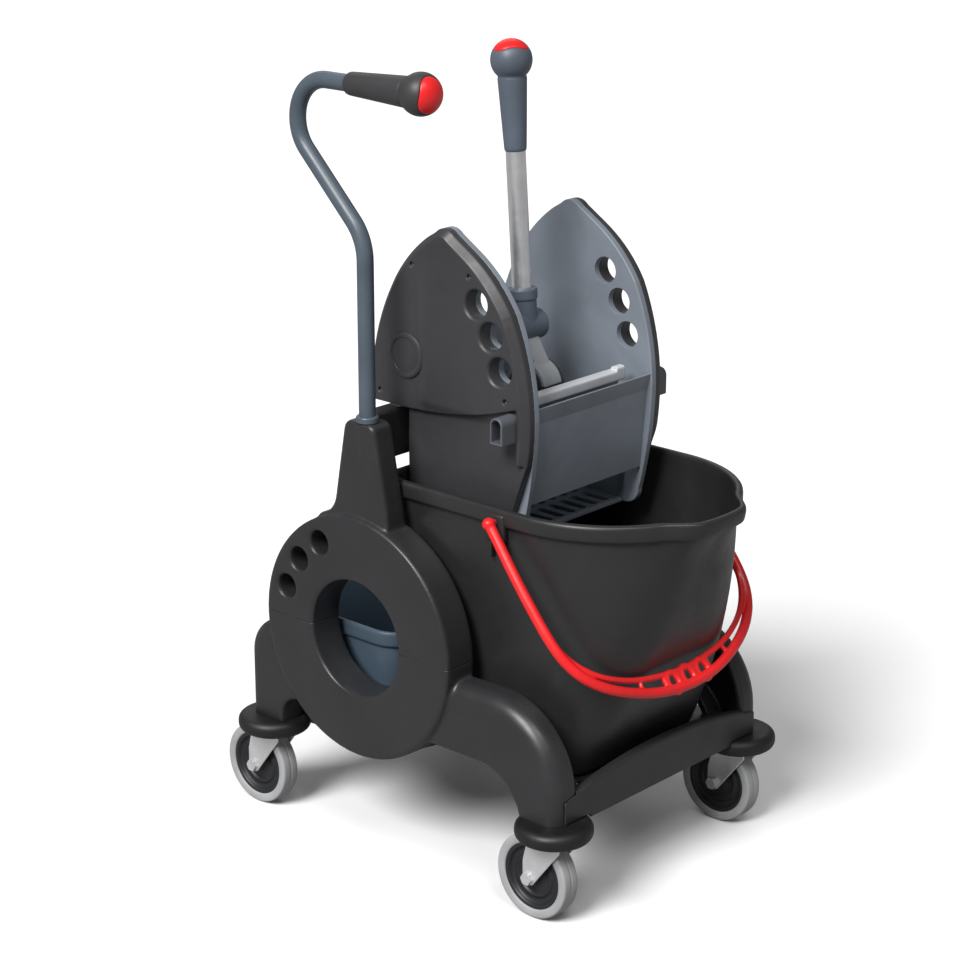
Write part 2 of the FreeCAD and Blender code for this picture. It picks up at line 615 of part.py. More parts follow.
# ---- bail ---------------------------------------------------------------------------------------
def bail():
    """U-shaped handle drawn in its own plane: (x, distance from the pivot), then leaned forward."""
    def at(x, s):
        return vec(x, 0, -s)
    grip_s = (BAIL_REACH + BAIL_RAIL) / 2
    arm = [at(-BAIL_X, -1), at(-BAIL_X - 5, 208), at(-120, BAIL_REACH - 21), at(0, BAIL_REACH),
           at(120, BAIL_REACH - 21), at(BAIL_X + 5, 208), at(BAIL_X, -1)]
    outer = sweep_round(tube_path(arm, [42, 260, 380, 260, 42]), BAIL_R)
    rail = [at(-BAIL_X - 3, 160), at(-150, 196), at(-112, BAIL_RAIL - 19), at(0, BAIL_RAIL),
            at(112, BAIL_RAIL - 19), at(150, 196), at(BAIL_X + 3, 160)]
    inner = sweep_round(tube_path(rail, [70, 120, 380, 120, 70]), 3.6)
    pieces = [outer, inner]
    for x in (-75, 75):
        pieces.append(rod(2.6, at(x, grip_s - 19), at(x, grip_s)))
    solid = fuse(pieces)
    pad = Part.makeBox(84, 9, 27, vec(-42, -4.5, -grip_s - 13.5))
    pad = rounded(pad, 4.0, lambda c, e: along(e, Y_AXIS))
    solid = solid.fuse(pad)
    slots = []
    for x in (-27, 0, 27):
        ring = Part.makeCylinder(13.5, 13, vec(x, -6.5, -grip_s), Y_AXIS)
        ring = rounded(ring, 3.0, lambda c, e: e.Length > 60)
        solid = solid.fuse(ring)
        slots.append(Part.makeCylinder(8.0, 40, vec(x, -20, -grip_s), Y_AXIS))
    solid = solid.cut(Part.makeCompound(slots))
    for sign in (-1, 1):
        stud = rod(4.0, vec(sign * BAIL_X, 0, 0), vec(sign * (RIM_HALF - 4.5), 0, 0))
        knob = Part.makeSphere(BAIL_R + 0.6, vec(sign * BAIL_X, 0, 0))
        solid = solid.fuse(stud).fuse(knob)
    solid = solid.removeSplitter()
    lean = FreeCAD.Rotation(X_AXIS, -math.degrees(BAIL_REST))
    solid.Placement = FreeCAD.Placement(vec(0, BAIL_PIVOT[0], BAIL_PIVOT[1]), lean)
    return solid


# ---- wringer ------------------------------------------------------------------------------------
def ogive_steps():
    """Front edge, apex and rear edge of a side plate, from the foot of the front edge round to the
    widest point of the rear edge.  Returns the start point and the steps."""
    apex_y, apex_z = OGIVE_APEX
    start = (-119, 416)
    steps = [((-131.5, 480), (OGIVE_FRONT, OGIVE_WIDE_Z)),
             ((-128.5, 606), (-109, 661)),
             ((-83, 694.5), (-50, 721)),
             (apex_y - 14, apex_z - 6),
             (OGIVE_APEX, (apex_y + 14, apex_z - 6)),
             (15, 729.5),
             ((45, 703), (72, 664)),
             ((94.5, 608), (OGIVE_REAR, OGIVE_WIDE_Z))]
    return start, steps


def plate_outline():
    """Full outline of a side plate down to the rounded bottom corner."""
    start, steps = ogive_steps()
    steps = steps + [(OGIVE_REAR, SHIELD_REAR_Z), (PLATE_REAR, SHIELD_REAR_Z), (PLATE_REAR, 440),
                     ((PLATE_REAR - 12, 409), (PLATE_REAR - 42, WRINGER_BOTTOM)),
                     (-98, WRINGER_BOTTOM), ((-112, 401), start)]
    return start, steps


def finger_holes(radius, x0, x1):
    return fuse([rod_x(radius, y, z, x0, x1) for y, z in FINGER_HOLES])


def wringer_side():
    """Left inner side plate, with the finger holes."""
    start, steps = plate_outline()
    plate = slab(start, steps, -PLATE_OUT, -PLATE_IN)
    plate = rounded(plate, 1.5, lambda c, e: c.x > -PLATE_IN - 0.1)
    return plate.cut(finger_holes(FINGER_HOLE_R, -PLATE_OUT - 1, -PLATE_IN + 1))


def wringer_side_with_boss():
    """The left plate also carries the lever's shaft, in a long boss."""
    boss = rod_x(BOSS_R, PIVOT[0], PIVOT[1], -PLATE_IN - 1, BOSS_X)
    solid = fuse([wringer_side(), boss])
    return solid.cut(rod_x(BUSH_R, PIVOT[0], PIVOT[1], -PLATE_OUT - 1, BOSS_X + 1))


def wringer_cover():
    """Left outer cover: bevelled upper shield, recessed lower wall, raised front border."""
    foot = (-133, 496)
    outline = [((-135.7, 520), (OGIVE_FRONT, OGIVE_WIDE_Z))] + ogive_steps()[1][1:]
    outline += [(OGIVE_REAR, SHIELD_REAR_Z), (PLATE_REAR, SHIELD_REAR_Z), (PLATE_REAR, 425),
                (-108, 425), (-113, 440), ((-124, 470), foot)]
    solid = slab(foot, outline, -COVER_OUT, -PLATE_OUT)
    border = [e for e in solid.Edges if e.CenterOfMass.x < -COVER_OUT + 0.1 and e.CenterOfMass.z > 500 and
              abs(e.CenterOfMass.z - SHIELD_REAR_Z) > 1]
    solid = solid.makeChamfer(SHIELD_BEVEL, border)
    recess = slab((OGIVE_REAR + 1, 420), [(OGIVE_REAR + 1, SHIELD_REAR_Z), (40, SHIELD_REAR_Z),
                                          ((-48, 540), (-123, 560)), (-123, foot[1]), (-140, foot[1]),
                                          (-140, 420)], -COVER_OUT - 1, -COVER_LOW)
    solid = solid.cut(recess)
    solid = solid.cut(finger_holes(FINGER_HOLE_R, -COVER_OUT - 1, -PLATE_OUT + 1))
    dish = 2.5
    for y, z in FINGER_HOLES:
        mouth = Part.makeCone(FINGER_HOLE_R + dish, FINGER_HOLE_R, dish, vec(-COVER_OUT, y, z), X_AXIS)
        solid = solid.cut(mouth)
    for y, z in COVER_SCREWS:
        solid = solid.cut(rod_x(3.2, y, z, -COVER_OUT - 1, -COVER_OUT + 6))
    return solid


def cover_screws():
    """Self-tapping screws sunk in the covers."""
    screws = []
    for sign in (-1, 1):
        for y, z in COVER_SCREWS:
            head = rod_x(3.1, y, z, -COVER_OUT + 3, -COVER_OUT + 6)
            head = head.cut(box(-COVER_OUT + 2, -COVER_OUT + 4.2, y - 0.5, y + 0.5, z - 2, z + 2))
            head = head.cut(box(-COVER_OUT + 2, -COVER_OUT + 4.2, y - 2, y + 2, z - 0.5, z + 0.5))
            screws.append(on_side(head, sign))
    return Part.makeCompound(screws)


def medallion():
    """Plain round boss on the cover: a raised ring round a shallow dome."""
    y, z = 42.0, 592.0
    points = [(0, 0), (27, 0), (26, 2.2), (23, 3), (20.5, 2.2), (20, 1.2), (12, 2.2), (0, 2.6)]
    return lathe(points, vec(-COVER_OUT, y, z), -X_AXIS)


def side_peg():
    """Hollow D-shaped lug that stands out of the lower wall."""
    y0, y1 = -122.0, -104.0
    z0, z1 = 523.0, 554.0
    r = (y1 - y0) / 2
    start = (y0, z0)
    steps = [(y0, z1 - r), ((y0 + r, z1), (y1, z1 - r)), (y1, z0)]
    outer = slab(start, steps, -PEG_END, -COVER_OUT + 4)
    outer = rounded(outer, 1.0, lambda c, e: c.x < -PEG_END + 0.1)
    inner_start = (y0 + 2.5, z0 + 2.5)
    inner_steps = [(y0 + 2.5, z1 - r), ((y0 + r, z1 - 2.5), (y1 - 2.5, z1 - r)), (y1 - 2.5, z0 + 2.5)]
    inner = slab(inner_start, inner_steps, -PEG_END - 1, -COVER_OUT + 2)
    base = slab(start, steps, -COVER_OUT + 4, -COVER_LOW)
    return fuse([outer, base]).cut(inner)


def wringer_front_panel():
    """Folded front panel between the side plates."""
    half = PLATE_IN
    outer = [(-134.5, 558), (-129.8, 539), (-122, 445)]
    inner = [(-118.5, 445), (-126.3, 539.4), (-129.5, 557)]
    return slab(outer[0], outer[1:] + inner, -half, half)


def wringer_rear_wall():
    """Sloping perforated wall that the mop is squeezed against."""
    half = PLATE_IN
    wall = slab((38, 600), [(30, 540), (4, 412), (8, 412), (34, 540), (44, 600), (52, 606), (48, 608)],
                -half, half)
    holes = []
    for row in range(6):
        z = 432 + row * 20
        y = 6 + (z - 412) * 0.203
        for col in range(-4, 5):
            x = col * 19 + (row % 2) * 9.5 - 4.75
            holes.append(rod(4.0, vec(x, y - 12, z), vec(x, y + 12, z)))
    return wall.cut(Part.makeCompound(holes))


def wringer_drip_grid():
    """Slotted floor at the foot of the chute."""
    grid = box(-PLATE_IN, PLATE_IN, -96, 4, WRINGER_BOTTOM, WRINGER_BOTTOM + 4)
    slots = []
    for i in range(-4, 5):
        for y0 in (-88, -42):
            slot = box(i * 20 - 5, i * 20 + 5, y0, y0 + 38, WRINGER_BOTTOM - 1, WRINGER_BOTTOM + 5)
            slots.append(rounded(slot, 4.9, lambda c, e: along(e, Z_AXIS)))
    return grid.cut(Part.makeCompound(slots))


def wringer_hooks():
    """Two steel hooks on the back of the wringer that hang over the crossbeam."""
    back = CROSSBEAM_Y[1]
    top = CROSSBEAM_Z[1]
    outline = [(PLATE_REAR, 545), (PLATE_REAR, top + 5), (back + 4, top + 5), (back + 4, top - 25),
               (back, top - 25), (back, top), (38, top), (32.2, 528)]
    return Part.makeCompound([slab((35.6, 545), outline, x - 12, x + 12) for x in (-60, 60)])


def shaft_bush():
    """Flanged plain bush pressed into the boss of the left plate."""
    y, z = PIVOT
    bush = rod_x(BUSH_R, y, z, -PLATE_OUT, BOSS_X + 2)
    flange = rod_x(BUSH_R + 3, y, z, BOSS_X, BOSS_X + 2)
    return fuse([bush, flange]).cut(rod_x(SHAFT_R + RUNNING_GAP, y, z, -PLATE_OUT - 1, BOSS_X + 3))


def pivot_shaft():
    return rod_x(SHAFT_R, PIVOT[0], PIVOT[1], -PLATE_OUT + 0.5, 20)


def lever_drum():
    drum = rod_x(DRUM_R - 2, PIVOT[0], PIVOT[1], -18, 14)
    ring = rod_x(DRUM_R, PIVOT[0], PIVOT[1], 14, 20)
    ring = rounded(ring, 1.0, lambda c, e: e.Length > 100)
    return fuse([drum, ring]).cut(rod_x(SHAFT_R, PIVOT[0], PIVOT[1], -30, 30))


def lever_yoke():
    """Cast hood over the drum with a neck up to the socket barrel."""
    y, z = PIVOT
    hood = rod_x(DRUM_R + 3, y, z, -17, 13)
    fy, fz = LEVER_FOOT
    neck = slab((y - 18, z + 18), [(fy - 13, fz - 8), (fy + 13, fz - 8), (y + 27, z + 6)], -13, 11)
    neck = rounded(neck, 3.0, lambda c, e: not along(e, X_AXIS))
    solid = fuse([hood, neck])
    below = box(-40, 40, y - 60, y + 60, z - 60, z + 4)
    solid = solid.cut(below).cut(rod_x(DRUM_R - 2, y, z, -30, 30))
    return solid.cut(rod_x(17.5, fy, fz, -40, 40))


def lever_axis():
    return vec(0, math.sin(LEVER_LEAN), math.cos(LEVER_LEAN))


def lever_point(distance):
    """Point on the lever's axis, measured up from the foot barrel."""
    return vec(0, LEVER_FOOT[0], LEVER_FOOT[1]) + lever_axis() * distance


def lever_socket():
    """Moulded socket: cross barrel at the foot, body and thicker collar at the top."""
    barrel = rod_x(17.5, LEVER_FOOT[0], LEVER_FOOT[1], -19, 25)
    barrel = rounded(barrel, 1.5, lambda c, e: e.Length > 60)
    body = [(0, 0), (15.8, 0), (15.8, 31), (17.2, 33), (17.2, 43), (16.2, 44.5), (0, 44.5)]
    stem = lathe(body, lever_point(0), lever_axis())
    bore = rod(11.3, lever_point(20), lever_point(60))
    return fuse([barrel, stem]).cut(bore)


def lever_tube():
    tube = rod(11.3, lever_point(20), lever_point(225))
    return tube.cut(rod(9.8, lever_point(19), lever_point(226)))


def lever_grip():
    grip, cap = grip_and_cap(12.7, 16.5, 100.5, lever_point(199), lever_axis())
    return grip.cut(rod(11.3, lever_point(190), lever_point(225))), cap


def press_plate():
    """Light pressing jaw: ribbed plate with a bright top strip, hung from the drum by one arm."""
    y, z = PIVOT
    x = JAW_HALF
    plate = slab((-105, 562), [(-101, 562), (-99, 440), (-103, 440)], -x, x)
    strip = rounded(box(-x, x, -114, -101, 552, 565), 2.5, lambda c, e: along(e, X_AXIS) and c.y < -113)
    tab = rounded(box(x - 14, x, -114, -104, 560, 569), 2.5, lambda c, e: along(e, X_AXIS) and c.z > 568)
    arm = slab((-103, 533), [(y - 15, z - 12), (y + 3, z - 22), (-101, 510)], -15, 11)
    parts = [plate, strip, tab, arm]
    for i in range(5):
        rib_z = 455 + i * 18
        parts.append(box(-x + 6, x - 6, -103, -96, rib_z, rib_z + 4))
    return fuse(parts).cut(rod_x(DRUM_R - 2, y, z, -x, x))


def return_spring():
    """Torsion spring round the shaft between the boss and the drum."""
    wire = 1.4
    coil_r = 11.5
    pitch = 3.2
    turns = 4
    helix = Part.makeHelix(pitch, pitch * turns, coil_r)
    start = helix.Edges[0].firstVertex().Point
    ahead = helix.Edges[0].tangentAt(helix.Edges[0].FirstParameter)
    ring = Part.Wire([Part.makeCircle(wire, start, ahead)])
    coil = Part.Wire(helix.Edges).makePipeShell([ring], True, True)
    coil.rotate(vec(0, 0, 0), Y_AXIS, 90)
    coil.translate(vec(BOSS_X + 5, PIVOT[0], PIVOT[1]))
    return coil


# ---- output -------------------------------------------------------------------------------------
def all_parts():
    parts = {}
    corners = [(f"{end}_{side}", sx * CASTOR_X, sy * CASTOR_Y)
               for end, sy in (("front", -1), ("rear", 1)) for side, sx in SIDES]
    for name, x, y in corners:
        parts[f"castor_fork_{name}"] = castor_fork(x, y)
        parts[f"castor_axle_{name}"] = castor_axle(x, y)
        parts[f"castor_hub_{name}"] = castor_hub(x, y)
        parts[f"castor_tyre_{name}"] = castor_tyre(x, y)
    parts["castor_plates"] = Part.makeCompound([castor_plate(x, y) for _, x, y in corners])
    parts["castor_kingpins"] = Part.makeCompound([castor_kingpin(x, y) for _, x, y in corners])

    lower, upper = side_halves()
    feet = Part.makeCompound([lower, mirror_x(lower)])
    parts["corner_bumpers"] = Part.makeCompound([corner_bumper(x, y).cut(feet) for _, x, y in corners])
    for side, sign in SIDES:
        parts[f"side_frame_lower_{side}"] = on_side(lower, sign)
        parts[f"side_frame_upper_{side}"] = on_side(upper, sign)
    parts["base_tray"] = base_tray()
    parts["front_beam"] = front_beam()
    parts["rear_beam"] = rear_beam()
    parts["wringer_crossbeam"] = wringer_crossbeam()

    parts["push_handle_tube"] = push_handle_tube()
    parts["push_handle_collar"] = push_handle_collar()
    parts["push_handle_grip"], parts["push_handle_cap"] = push_handle_grip()

    parts["bucket"] = bucket()
    parts["bail"] = bail()
    parts["rear_bucket"] = rear_bucket()

    parts["wringer_side_left"] = wringer_side_with_boss()
    parts["wringer_side_right"] = mirror_x(wringer_side())
    for side, sign in SIDES:
        parts[f"wringer_cover_{side}"] = on_side(wringer_cover(), sign)
        parts[f"side_peg_{side}"] = on_side(side_peg(), sign)
        parts[f"medallion_{side}"] = on_side(medallion(), sign)
    parts["cover_screws"] = cover_screws()
    parts["wringer_front_panel"] = wringer_front_panel()
    parts["wringer_rear_wall"] = wringer_rear_wall()
    parts["wringer_drip_grid"] = wringer_drip_grid()
    parts["wringer_hooks"] = wringer_hooks()
    parts["shaft_bush"] = shaft_bush()
    parts["return_spring"] = return_spring()

    parts["pivot_shaft"] = pivot_shaft()
    parts["lever_drum"] = lever_drum()
    parts["lever_yoke"] = lever_yoke()
    parts["lever_socket"] = lever_socket()
    parts["lever_tube"] = lever_tube()
    parts["lever_grip"], parts["lever_cap"] = lever_grip()
    parts["press_plate"] = press_plate()
    return parts


def main():
    os.makedirs("parts", exist_ok=True)
    for name, shape in all_parts().items():
        moved = shape.copy()
        moved.translate(FRAME_SHIFT)
        moved.exportStep(f"parts/{name}.step")
        print(f"{name:28s} solids {len(moved.Solids):2d} valid {moved.isValid()} "
              f"volume {moved.Volume / 1000:9.1f} cm3")


main()
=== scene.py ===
import json
import math

import bmesh
import bpy
from mathutils import Matrix, Vector


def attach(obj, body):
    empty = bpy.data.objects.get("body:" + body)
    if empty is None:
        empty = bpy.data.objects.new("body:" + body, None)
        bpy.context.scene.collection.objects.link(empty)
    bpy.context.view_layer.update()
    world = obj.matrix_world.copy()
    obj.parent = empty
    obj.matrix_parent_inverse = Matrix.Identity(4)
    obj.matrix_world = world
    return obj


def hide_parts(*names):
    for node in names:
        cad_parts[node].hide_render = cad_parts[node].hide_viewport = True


# Looks for the mop trolley.  Metres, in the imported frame: +X right, -Y front, +Z up.
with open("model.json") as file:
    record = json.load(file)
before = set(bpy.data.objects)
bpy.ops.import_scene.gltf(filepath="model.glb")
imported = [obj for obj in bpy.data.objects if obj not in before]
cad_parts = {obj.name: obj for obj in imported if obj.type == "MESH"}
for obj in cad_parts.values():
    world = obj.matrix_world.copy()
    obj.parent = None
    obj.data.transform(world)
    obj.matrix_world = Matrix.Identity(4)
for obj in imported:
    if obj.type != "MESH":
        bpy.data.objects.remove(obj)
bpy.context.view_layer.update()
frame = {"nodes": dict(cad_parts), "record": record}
nodes = frame["nodes"]
MM = 0.001
FRAME_Y = 12.95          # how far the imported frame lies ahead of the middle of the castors, mm


def at(x, y, z):
    """A point given in millimetres from the middle of the castors."""
    return Vector((x * MM, (y + FRAME_Y) * MM, z * MM))


# ---- materials ----------------------------------------------------------------------------------
class Net:
    """Short names for building a material's node tree."""

    def __init__(self, name):
        self.mat = bpy.data.materials.new(name)
        self.mat.use_nodes = True
        self.tree = self.mat.node_tree
        self.shader = self.tree.nodes["Principled BSDF"]
        self.place = self.new("ShaderNodeTexCoord").outputs["Object"]

    def new(self, kind, **settings):
        node = self.tree.nodes.new(kind)
        for key, value in settings.items():
            setattr(node, key, value)
        return node

    def link(self, value, socket):
        if isinstance(value, bpy.types.NodeSocket):
            self.tree.links.new(value, socket)
        else:
            socket.default_value = value

    def stretched(self, x, y, z):
        node = self.new("ShaderNodeMapping")
        self.link(self.place, node.inputs["Vector"])
        node.inputs["Scale"].default_value = (x, y, z)
        return node.outputs["Vector"]

    def noise(self, scale, detail=3.0, rough=0.55, place=None, distortion=0.0):
        node = self.new("ShaderNodeTexNoise")
        self.link(place or self.place, node.inputs["Vector"])
        node.inputs["Scale"].default_value = scale
        node.inputs["Detail"].default_value = detail
        node.inputs["Roughness"].default_value = rough
        node.inputs["Distortion"].default_value = distortion
        return node.outputs["Fac"]

    def spread(self, value, low, high, to_low=0.0, to_high=1.0):
        node = self.new("ShaderNodeMapRange")
        self.link(value, node.inputs["Value"])
        for key, number in (("From Min", low), ("From Max", high), ("To Min", to_low), ("To Max", to_high)):
            node.inputs[key].default_value = number
        return node.outputs["Result"]

    def sum(self, a, b, operation="ADD"):
        node = self.new("ShaderNodeMath", operation=operation)
        self.link(a, node.inputs[0])
        self.link(b, node.inputs[1])
        return node.outputs[0]

    def blend(self, share, a, b):
        node = self.new("ShaderNodeMix", data_type="RGBA")
        self.link(share, node.inputs["Factor"])
        self.link((*a, 1.0) if isinstance(a, tuple) else a, node.inputs["A"])
        self.link((*b, 1.0) if isinstance(b, tuple) else b, node.inputs["B"])
        return node.outputs["Result"]

    def bump(self, height, strength, distance, under=None):
        node = self.new("ShaderNodeBump")
        node.inputs["Strength"].default_value = strength
        node.inputs["Distance"].default_value = distance
        self.link(height, node.inputs["Height"])
        if under:
            self.link(under, node.inputs["Normal"])
        return node.outputs["Normal"]

    def edges(self, radius):
        """Normal softened over the edges, and a mask that is high where the surface bends."""
        soft = self.new("ShaderNodeBevel", samples=6)
        soft.inputs["Radius"].default_value = radius
        plain = self.new("ShaderNodeNewGeometry").outputs["Normal"]
        dot = self.new("ShaderNodeVectorMath", operation="DOT_PRODUCT")
        self.link(soft.outputs["Normal"], dot.inputs[0])
        self.link(plain, dot.inputs[1])
        return soft.outputs["Normal"], self.spread(dot.outputs["Value"], 0.995, 0.80)

    def finish(self, color, rough, normal, **fixed):
        self.link(color, self.shader.inputs["Base Color"])
        self.link(rough, self.shader.inputs["Roughness"])
        self.link(normal, self.shader.inputs["Normal"])
        for key, value in fixed.items():
            self.shader.inputs[key.replace("_", " ")].default_value = value
        return self.mat


def shade(color, factor):
    return tuple(min(1.0, c * factor) for c in color)


def moulded(name, color, rough=0.45, grain=1.0, edge=0.0011, wear=0.5, **fixed):
    """Injection-moulded plastic: spark-eroded grain, faint flow marks, rubbed edges, a little dust."""
    net = Net(name)
    soft, bends = net.edges(edge)
    fine = net.noise(1500, 2.0, 0.6)
    flow = net.noise(7, 4.0, 0.6, distortion=0.6)
    blotch = net.noise(38, 3.0, 0.55)
    base = net.blend(net.spread(flow, 0.3, 0.7), shade(color, 0.84), shade(color, 1.18))
    base = net.blend(net.sum(net.spread(fine, 0.45, 0.75), 0.18, "MULTIPLY"), base, shade(color, 1.9))
    rubbed = net.sum(bends, net.spread(blotch, 0.38, 0.66), "MULTIPLY")
    worn = tuple(0.55 * c + 0.06 for c in shade(color, 1.5))
    base = net.blend(net.sum(rubbed, wear, "MULTIPLY"), base, worn)
    scratches = net.noise(90, 2.0, 0.5, net.stretched(1.0, 1.0, 14.0))
    dull = net.spread(blotch, 0.3, 0.7, rough - 0.05, rough + 0.07)
    dull = net.sum(dull, net.spread(scratches, 0.60, 0.72, 0.0, 0.10))
    normal = net.bump(net.noise(22, 2.0, 0.5), 0.10, 0.0012, soft)
    normal = net.bump(fine, 0.16 * grain, 0.00022, normal)
    return net.finish(base, dull, normal, **fixed)


def painted(name, color, rough=0.36):
    """Powder coat on steel: fine orange peel with tiny chips scattered over it."""
    net = Net(name)
    soft = net.edges(0.0008)[0]
    peel = net.noise(420, 2.0, 0.5)
    cloud = net.noise(18, 3.0, 0.6)
    base = net.blend(net.spread(cloud, 0.3, 0.7), shade(color, 0.88), shade(color, 1.12))
    chips = net.spread(net.noise(160, 4.0, 0.7), 0.66, 0.70)
    base = net.blend(net.sum(chips, 0.35, "MULTIPLY"), base, shade(color, 1.8))
    dull = net.spread(cloud, 0.3, 0.7, rough - 0.05, rough + 0.06)
    return net.finish(base, dull, net.bump(peel, 0.14, 0.0003, soft))


def brushed(name, color, along, rough=0.34, streak=0.5):
    """Metal with fine lines along one axis."""
    net = Net(name)
    soft = net.edges(0.0005)[0]
    scale = [220.0, 220.0, 220.0]
    scale[along] = 6.0
    lines = net.noise(9, 3.0, 0.6, net.stretched(*scale))
    cloud = net.noise(30, 4.0, 0.65)
    base = net.blend(net.spread(cloud, 0.3, 0.7), shade(color, 0.90), shade(color, 1.08))
    marks = net.sum(net.spread(lines, 0.4, 0.7), 0.25 * streak, "MULTIPLY")
    base = net.blend(marks, base, shade(color, 0.72))
    dull = net.spread(lines, 0.3, 0.7, rough - 0.06, rough + 0.08)
    dull = net.sum(dull, net.spread(cloud, 0.4, 0.7, 0.0, 0.08))
    return net.finish(base, dull, net.bump(lines, 0.10, 0.0002, soft), Metallic=1.0)


def zinc(name, color, rough=0.20):
    """Bright zinc plate: soft clouds, faint rolling ripples and darker handling stains."""
    net = Net(name)
    soft, bends = net.edges(0.0007)
    cloud = net.noise(30, 3.0, 0.55)
    stain = net.noise(75, 4.0, 0.7)
    base = net.blend(net.spread(cloud, 0.3, 0.7), shade(color, 0.90), shade(color, 1.10))
    base = net.blend(net.spread(stain, 0.62, 0.76, 0.0, 0.30), base, shade(color, 0.55))
    dull = net.sum(net.spread(cloud, 0.3, 0.7, rough - 0.04, rough + 0.08), net.spread(bends, 0, 1, 0, -0.05))
    return net.finish(base, dull, net.bump(net.noise(60, 2.0, 0.5), 0.08, 0.0004, soft), Metallic=0.72)


def rubber(name, color, rough=0.72, dust=0.35):
    """Rubber: matt, speckled, with dust rubbed into it."""
    net = Net(name)
    soft = net.edges(0.0009)[0]
    speck = net.noise(900, 3.0, 0.7)
    cloud = net.noise(28, 4.0, 0.6)
    base = net.blend(net.spread(cloud, 0.3, 0.7), shade(color, 0.88), shade(color, 1.10))
    base = net.blend(net.sum(net.spread(speck, 0.5, 0.72), 0.25, "MULTIPLY"), base, shade(color, 0.62))
    grey = tuple(0.6 * c + 0.12 for c in color)
    base = net.blend(net.sum(net.spread(net.noise(60, 4.0, 0.7), 0.52, 0.7), dust, "MULTIPLY"), base, grey)
    dull = net.spread(cloud, 0.3, 0.7, rough - 0.06, rough + 0.08)
    return net.finish(base, dull, net.bump(speck, 0.25, 0.0003, soft))


looks = {
    "frame_plastic": moulded("frame_plastic", (0.022, 0.022, 0.0235), 0.36, 0.9, 0.0016),
    "bumper_rubber": rubber("bumper_rubber", (0.007, 0.007, 0.0075), 0.50, 0.03),
    "bucket_plastic": moulded("bucket_plastic", (0.019, 0.019, 0.020), 0.37, 0.9),
    "cover_plastic": moulded("cover_plastic", (0.034, 0.034, 0.037), 0.42, 1.2),
    "wringer_grey": moulded("wringer_grey", (0.19, 0.215, 0.25), 0.46, 0.8),
    "wringer_dark": moulded("wringer_dark", (0.085, 0.092, 0.105), 0.42, 0.8),
    "jaw_light": moulded("jaw_light", (0.52, 0.54, 0.57), 0.40, 0.6),
    "small_bucket_blue": moulded("small_bucket_blue", (0.056, 0.084, 0.115), 0.42, 0.8),
    "handle_paint": painted("handle_paint", (0.075, 0.098, 0.122)),
    "grip_black": moulded("grip_black", (0.035, 0.035, 0.037), 0.46, 1.2),
    "grip_slate": moulded("grip_slate", (0.085, 0.105, 0.135), 0.44, 1.0),
    "red_plastic": moulded("red_plastic", (0.74, 0.014, 0.016), 0.32, 0.5, wear=0.15),
    "aluminium": brushed("aluminium", (0.93, 0.93, 0.95), 2, 0.36, 0.3),
    "cast_grey": painted("cast_grey", (0.33, 0.345, 0.36), 0.44),
    "zinc_steel": zinc("zinc_steel", (0.82, 0.82, 0.83)),
    "dark_steel": brushed("dark_steel", (0.34, 0.34, 0.35), 0, 0.38),
    "hub_plastic": moulded("hub_plastic", (0.013, 0.0135, 0.0155), 0.48, 1.0),
    "tyre_rubber": rubber("tyre_rubber", (0.36, 0.362, 0.368), 0.60, 0.2),
    "bush_plastic": moulded("bush_plastic", (0.42, 0.42, 0.41), 0.45, 0.7),
}
slot_of = {s["node"]: s["material_slot"] for s in frame["record"]["subparts"]}
for node, obj in nodes.items():
    obj.data.materials.clear()
    obj.data.materials.append(looks[slot_of[node]])


# ---- mesh helpers -------------------------------------------------------------------------------
def placed(name, data):
    """A new object in the scene that shows a mesh, curve, light or camera."""
    obj = bpy.data.objects.new(name, data)
    bpy.context.scene.collection.objects.link(obj)
    return obj


def smoothed(mesh):
    mesh.polygons.foreach_set("use_smooth", [True] * len(mesh.polygons))


def final_mesh(obj):
    """The mesh that an object has once its modifiers or its bevel are worked out."""
    bpy.context.view_layer.update()
    graph = bpy.context.evaluated_depsgraph_get()
    return bpy.data.meshes.new_from_object(obj.evaluated_get(graph))


def mesh_object(name, verts, faces):
    mesh = bpy.data.meshes.new(name)
    mesh.from_pydata(verts, [], faces)
    mesh.validate()
    obj = placed(name, mesh)
    fix_normals(obj)
    smoothed(mesh)
    return obj


def fix_normals(obj):
    work = bmesh.new()
    work.from_mesh(obj.data)
    bmesh.ops.recalc_face_normals(work, faces=work.faces)
    work.to_mesh(obj.data)
    work.free()


def settle(obj):
    """Apply every modifier, so that the mesh is final."""
    final = final_mesh(obj)
    obj.modifiers.clear()
    old = obj.data
    obj.data = final
    if old.users == 0:
        bpy.data.meshes.remove(old)
    smoothed(final)
    return obj


def done(obj, body, slot, *replaced):
    """Give a finished piece the material of its slot and its body, and hide the CAD nodes that it replaces.
    """
    obj.data.materials.clear()
    obj.data.materials.append(looks[slot])
    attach(obj, body)
    if replaced:
        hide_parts(*replaced)
    return obj


def joined(name, objects):
    """One mesh object from several."""
    work = bmesh.new()
    for obj in objects:
        mesh = obj.data.copy()
        mesh.transform(obj.matrix_world)
        work.from_mesh(mesh)
        bpy.data.meshes.remove(mesh)
    mesh = bpy.data.meshes.new(name)
    work.to_mesh(mesh)
    work.free()
    for obj in objects:
        bpy.data.objects.remove(obj)
    smoothed(mesh)
    return placed(name, mesh)


def copied(name, *names):
    """A closed mesh with the shape of one or more CAD nodes."""
    work = bmesh.new()
    for node in names:
        work.from_mesh(nodes[node].data)
    bmesh.ops.remove_doubles(work, verts=work.verts, dist=2e-6)
    mesh = bpy.data.meshes.new(name)
    work.to_mesh(mesh)
    work.free()
    mesh.materials.clear()
    return placed(name, mesh)


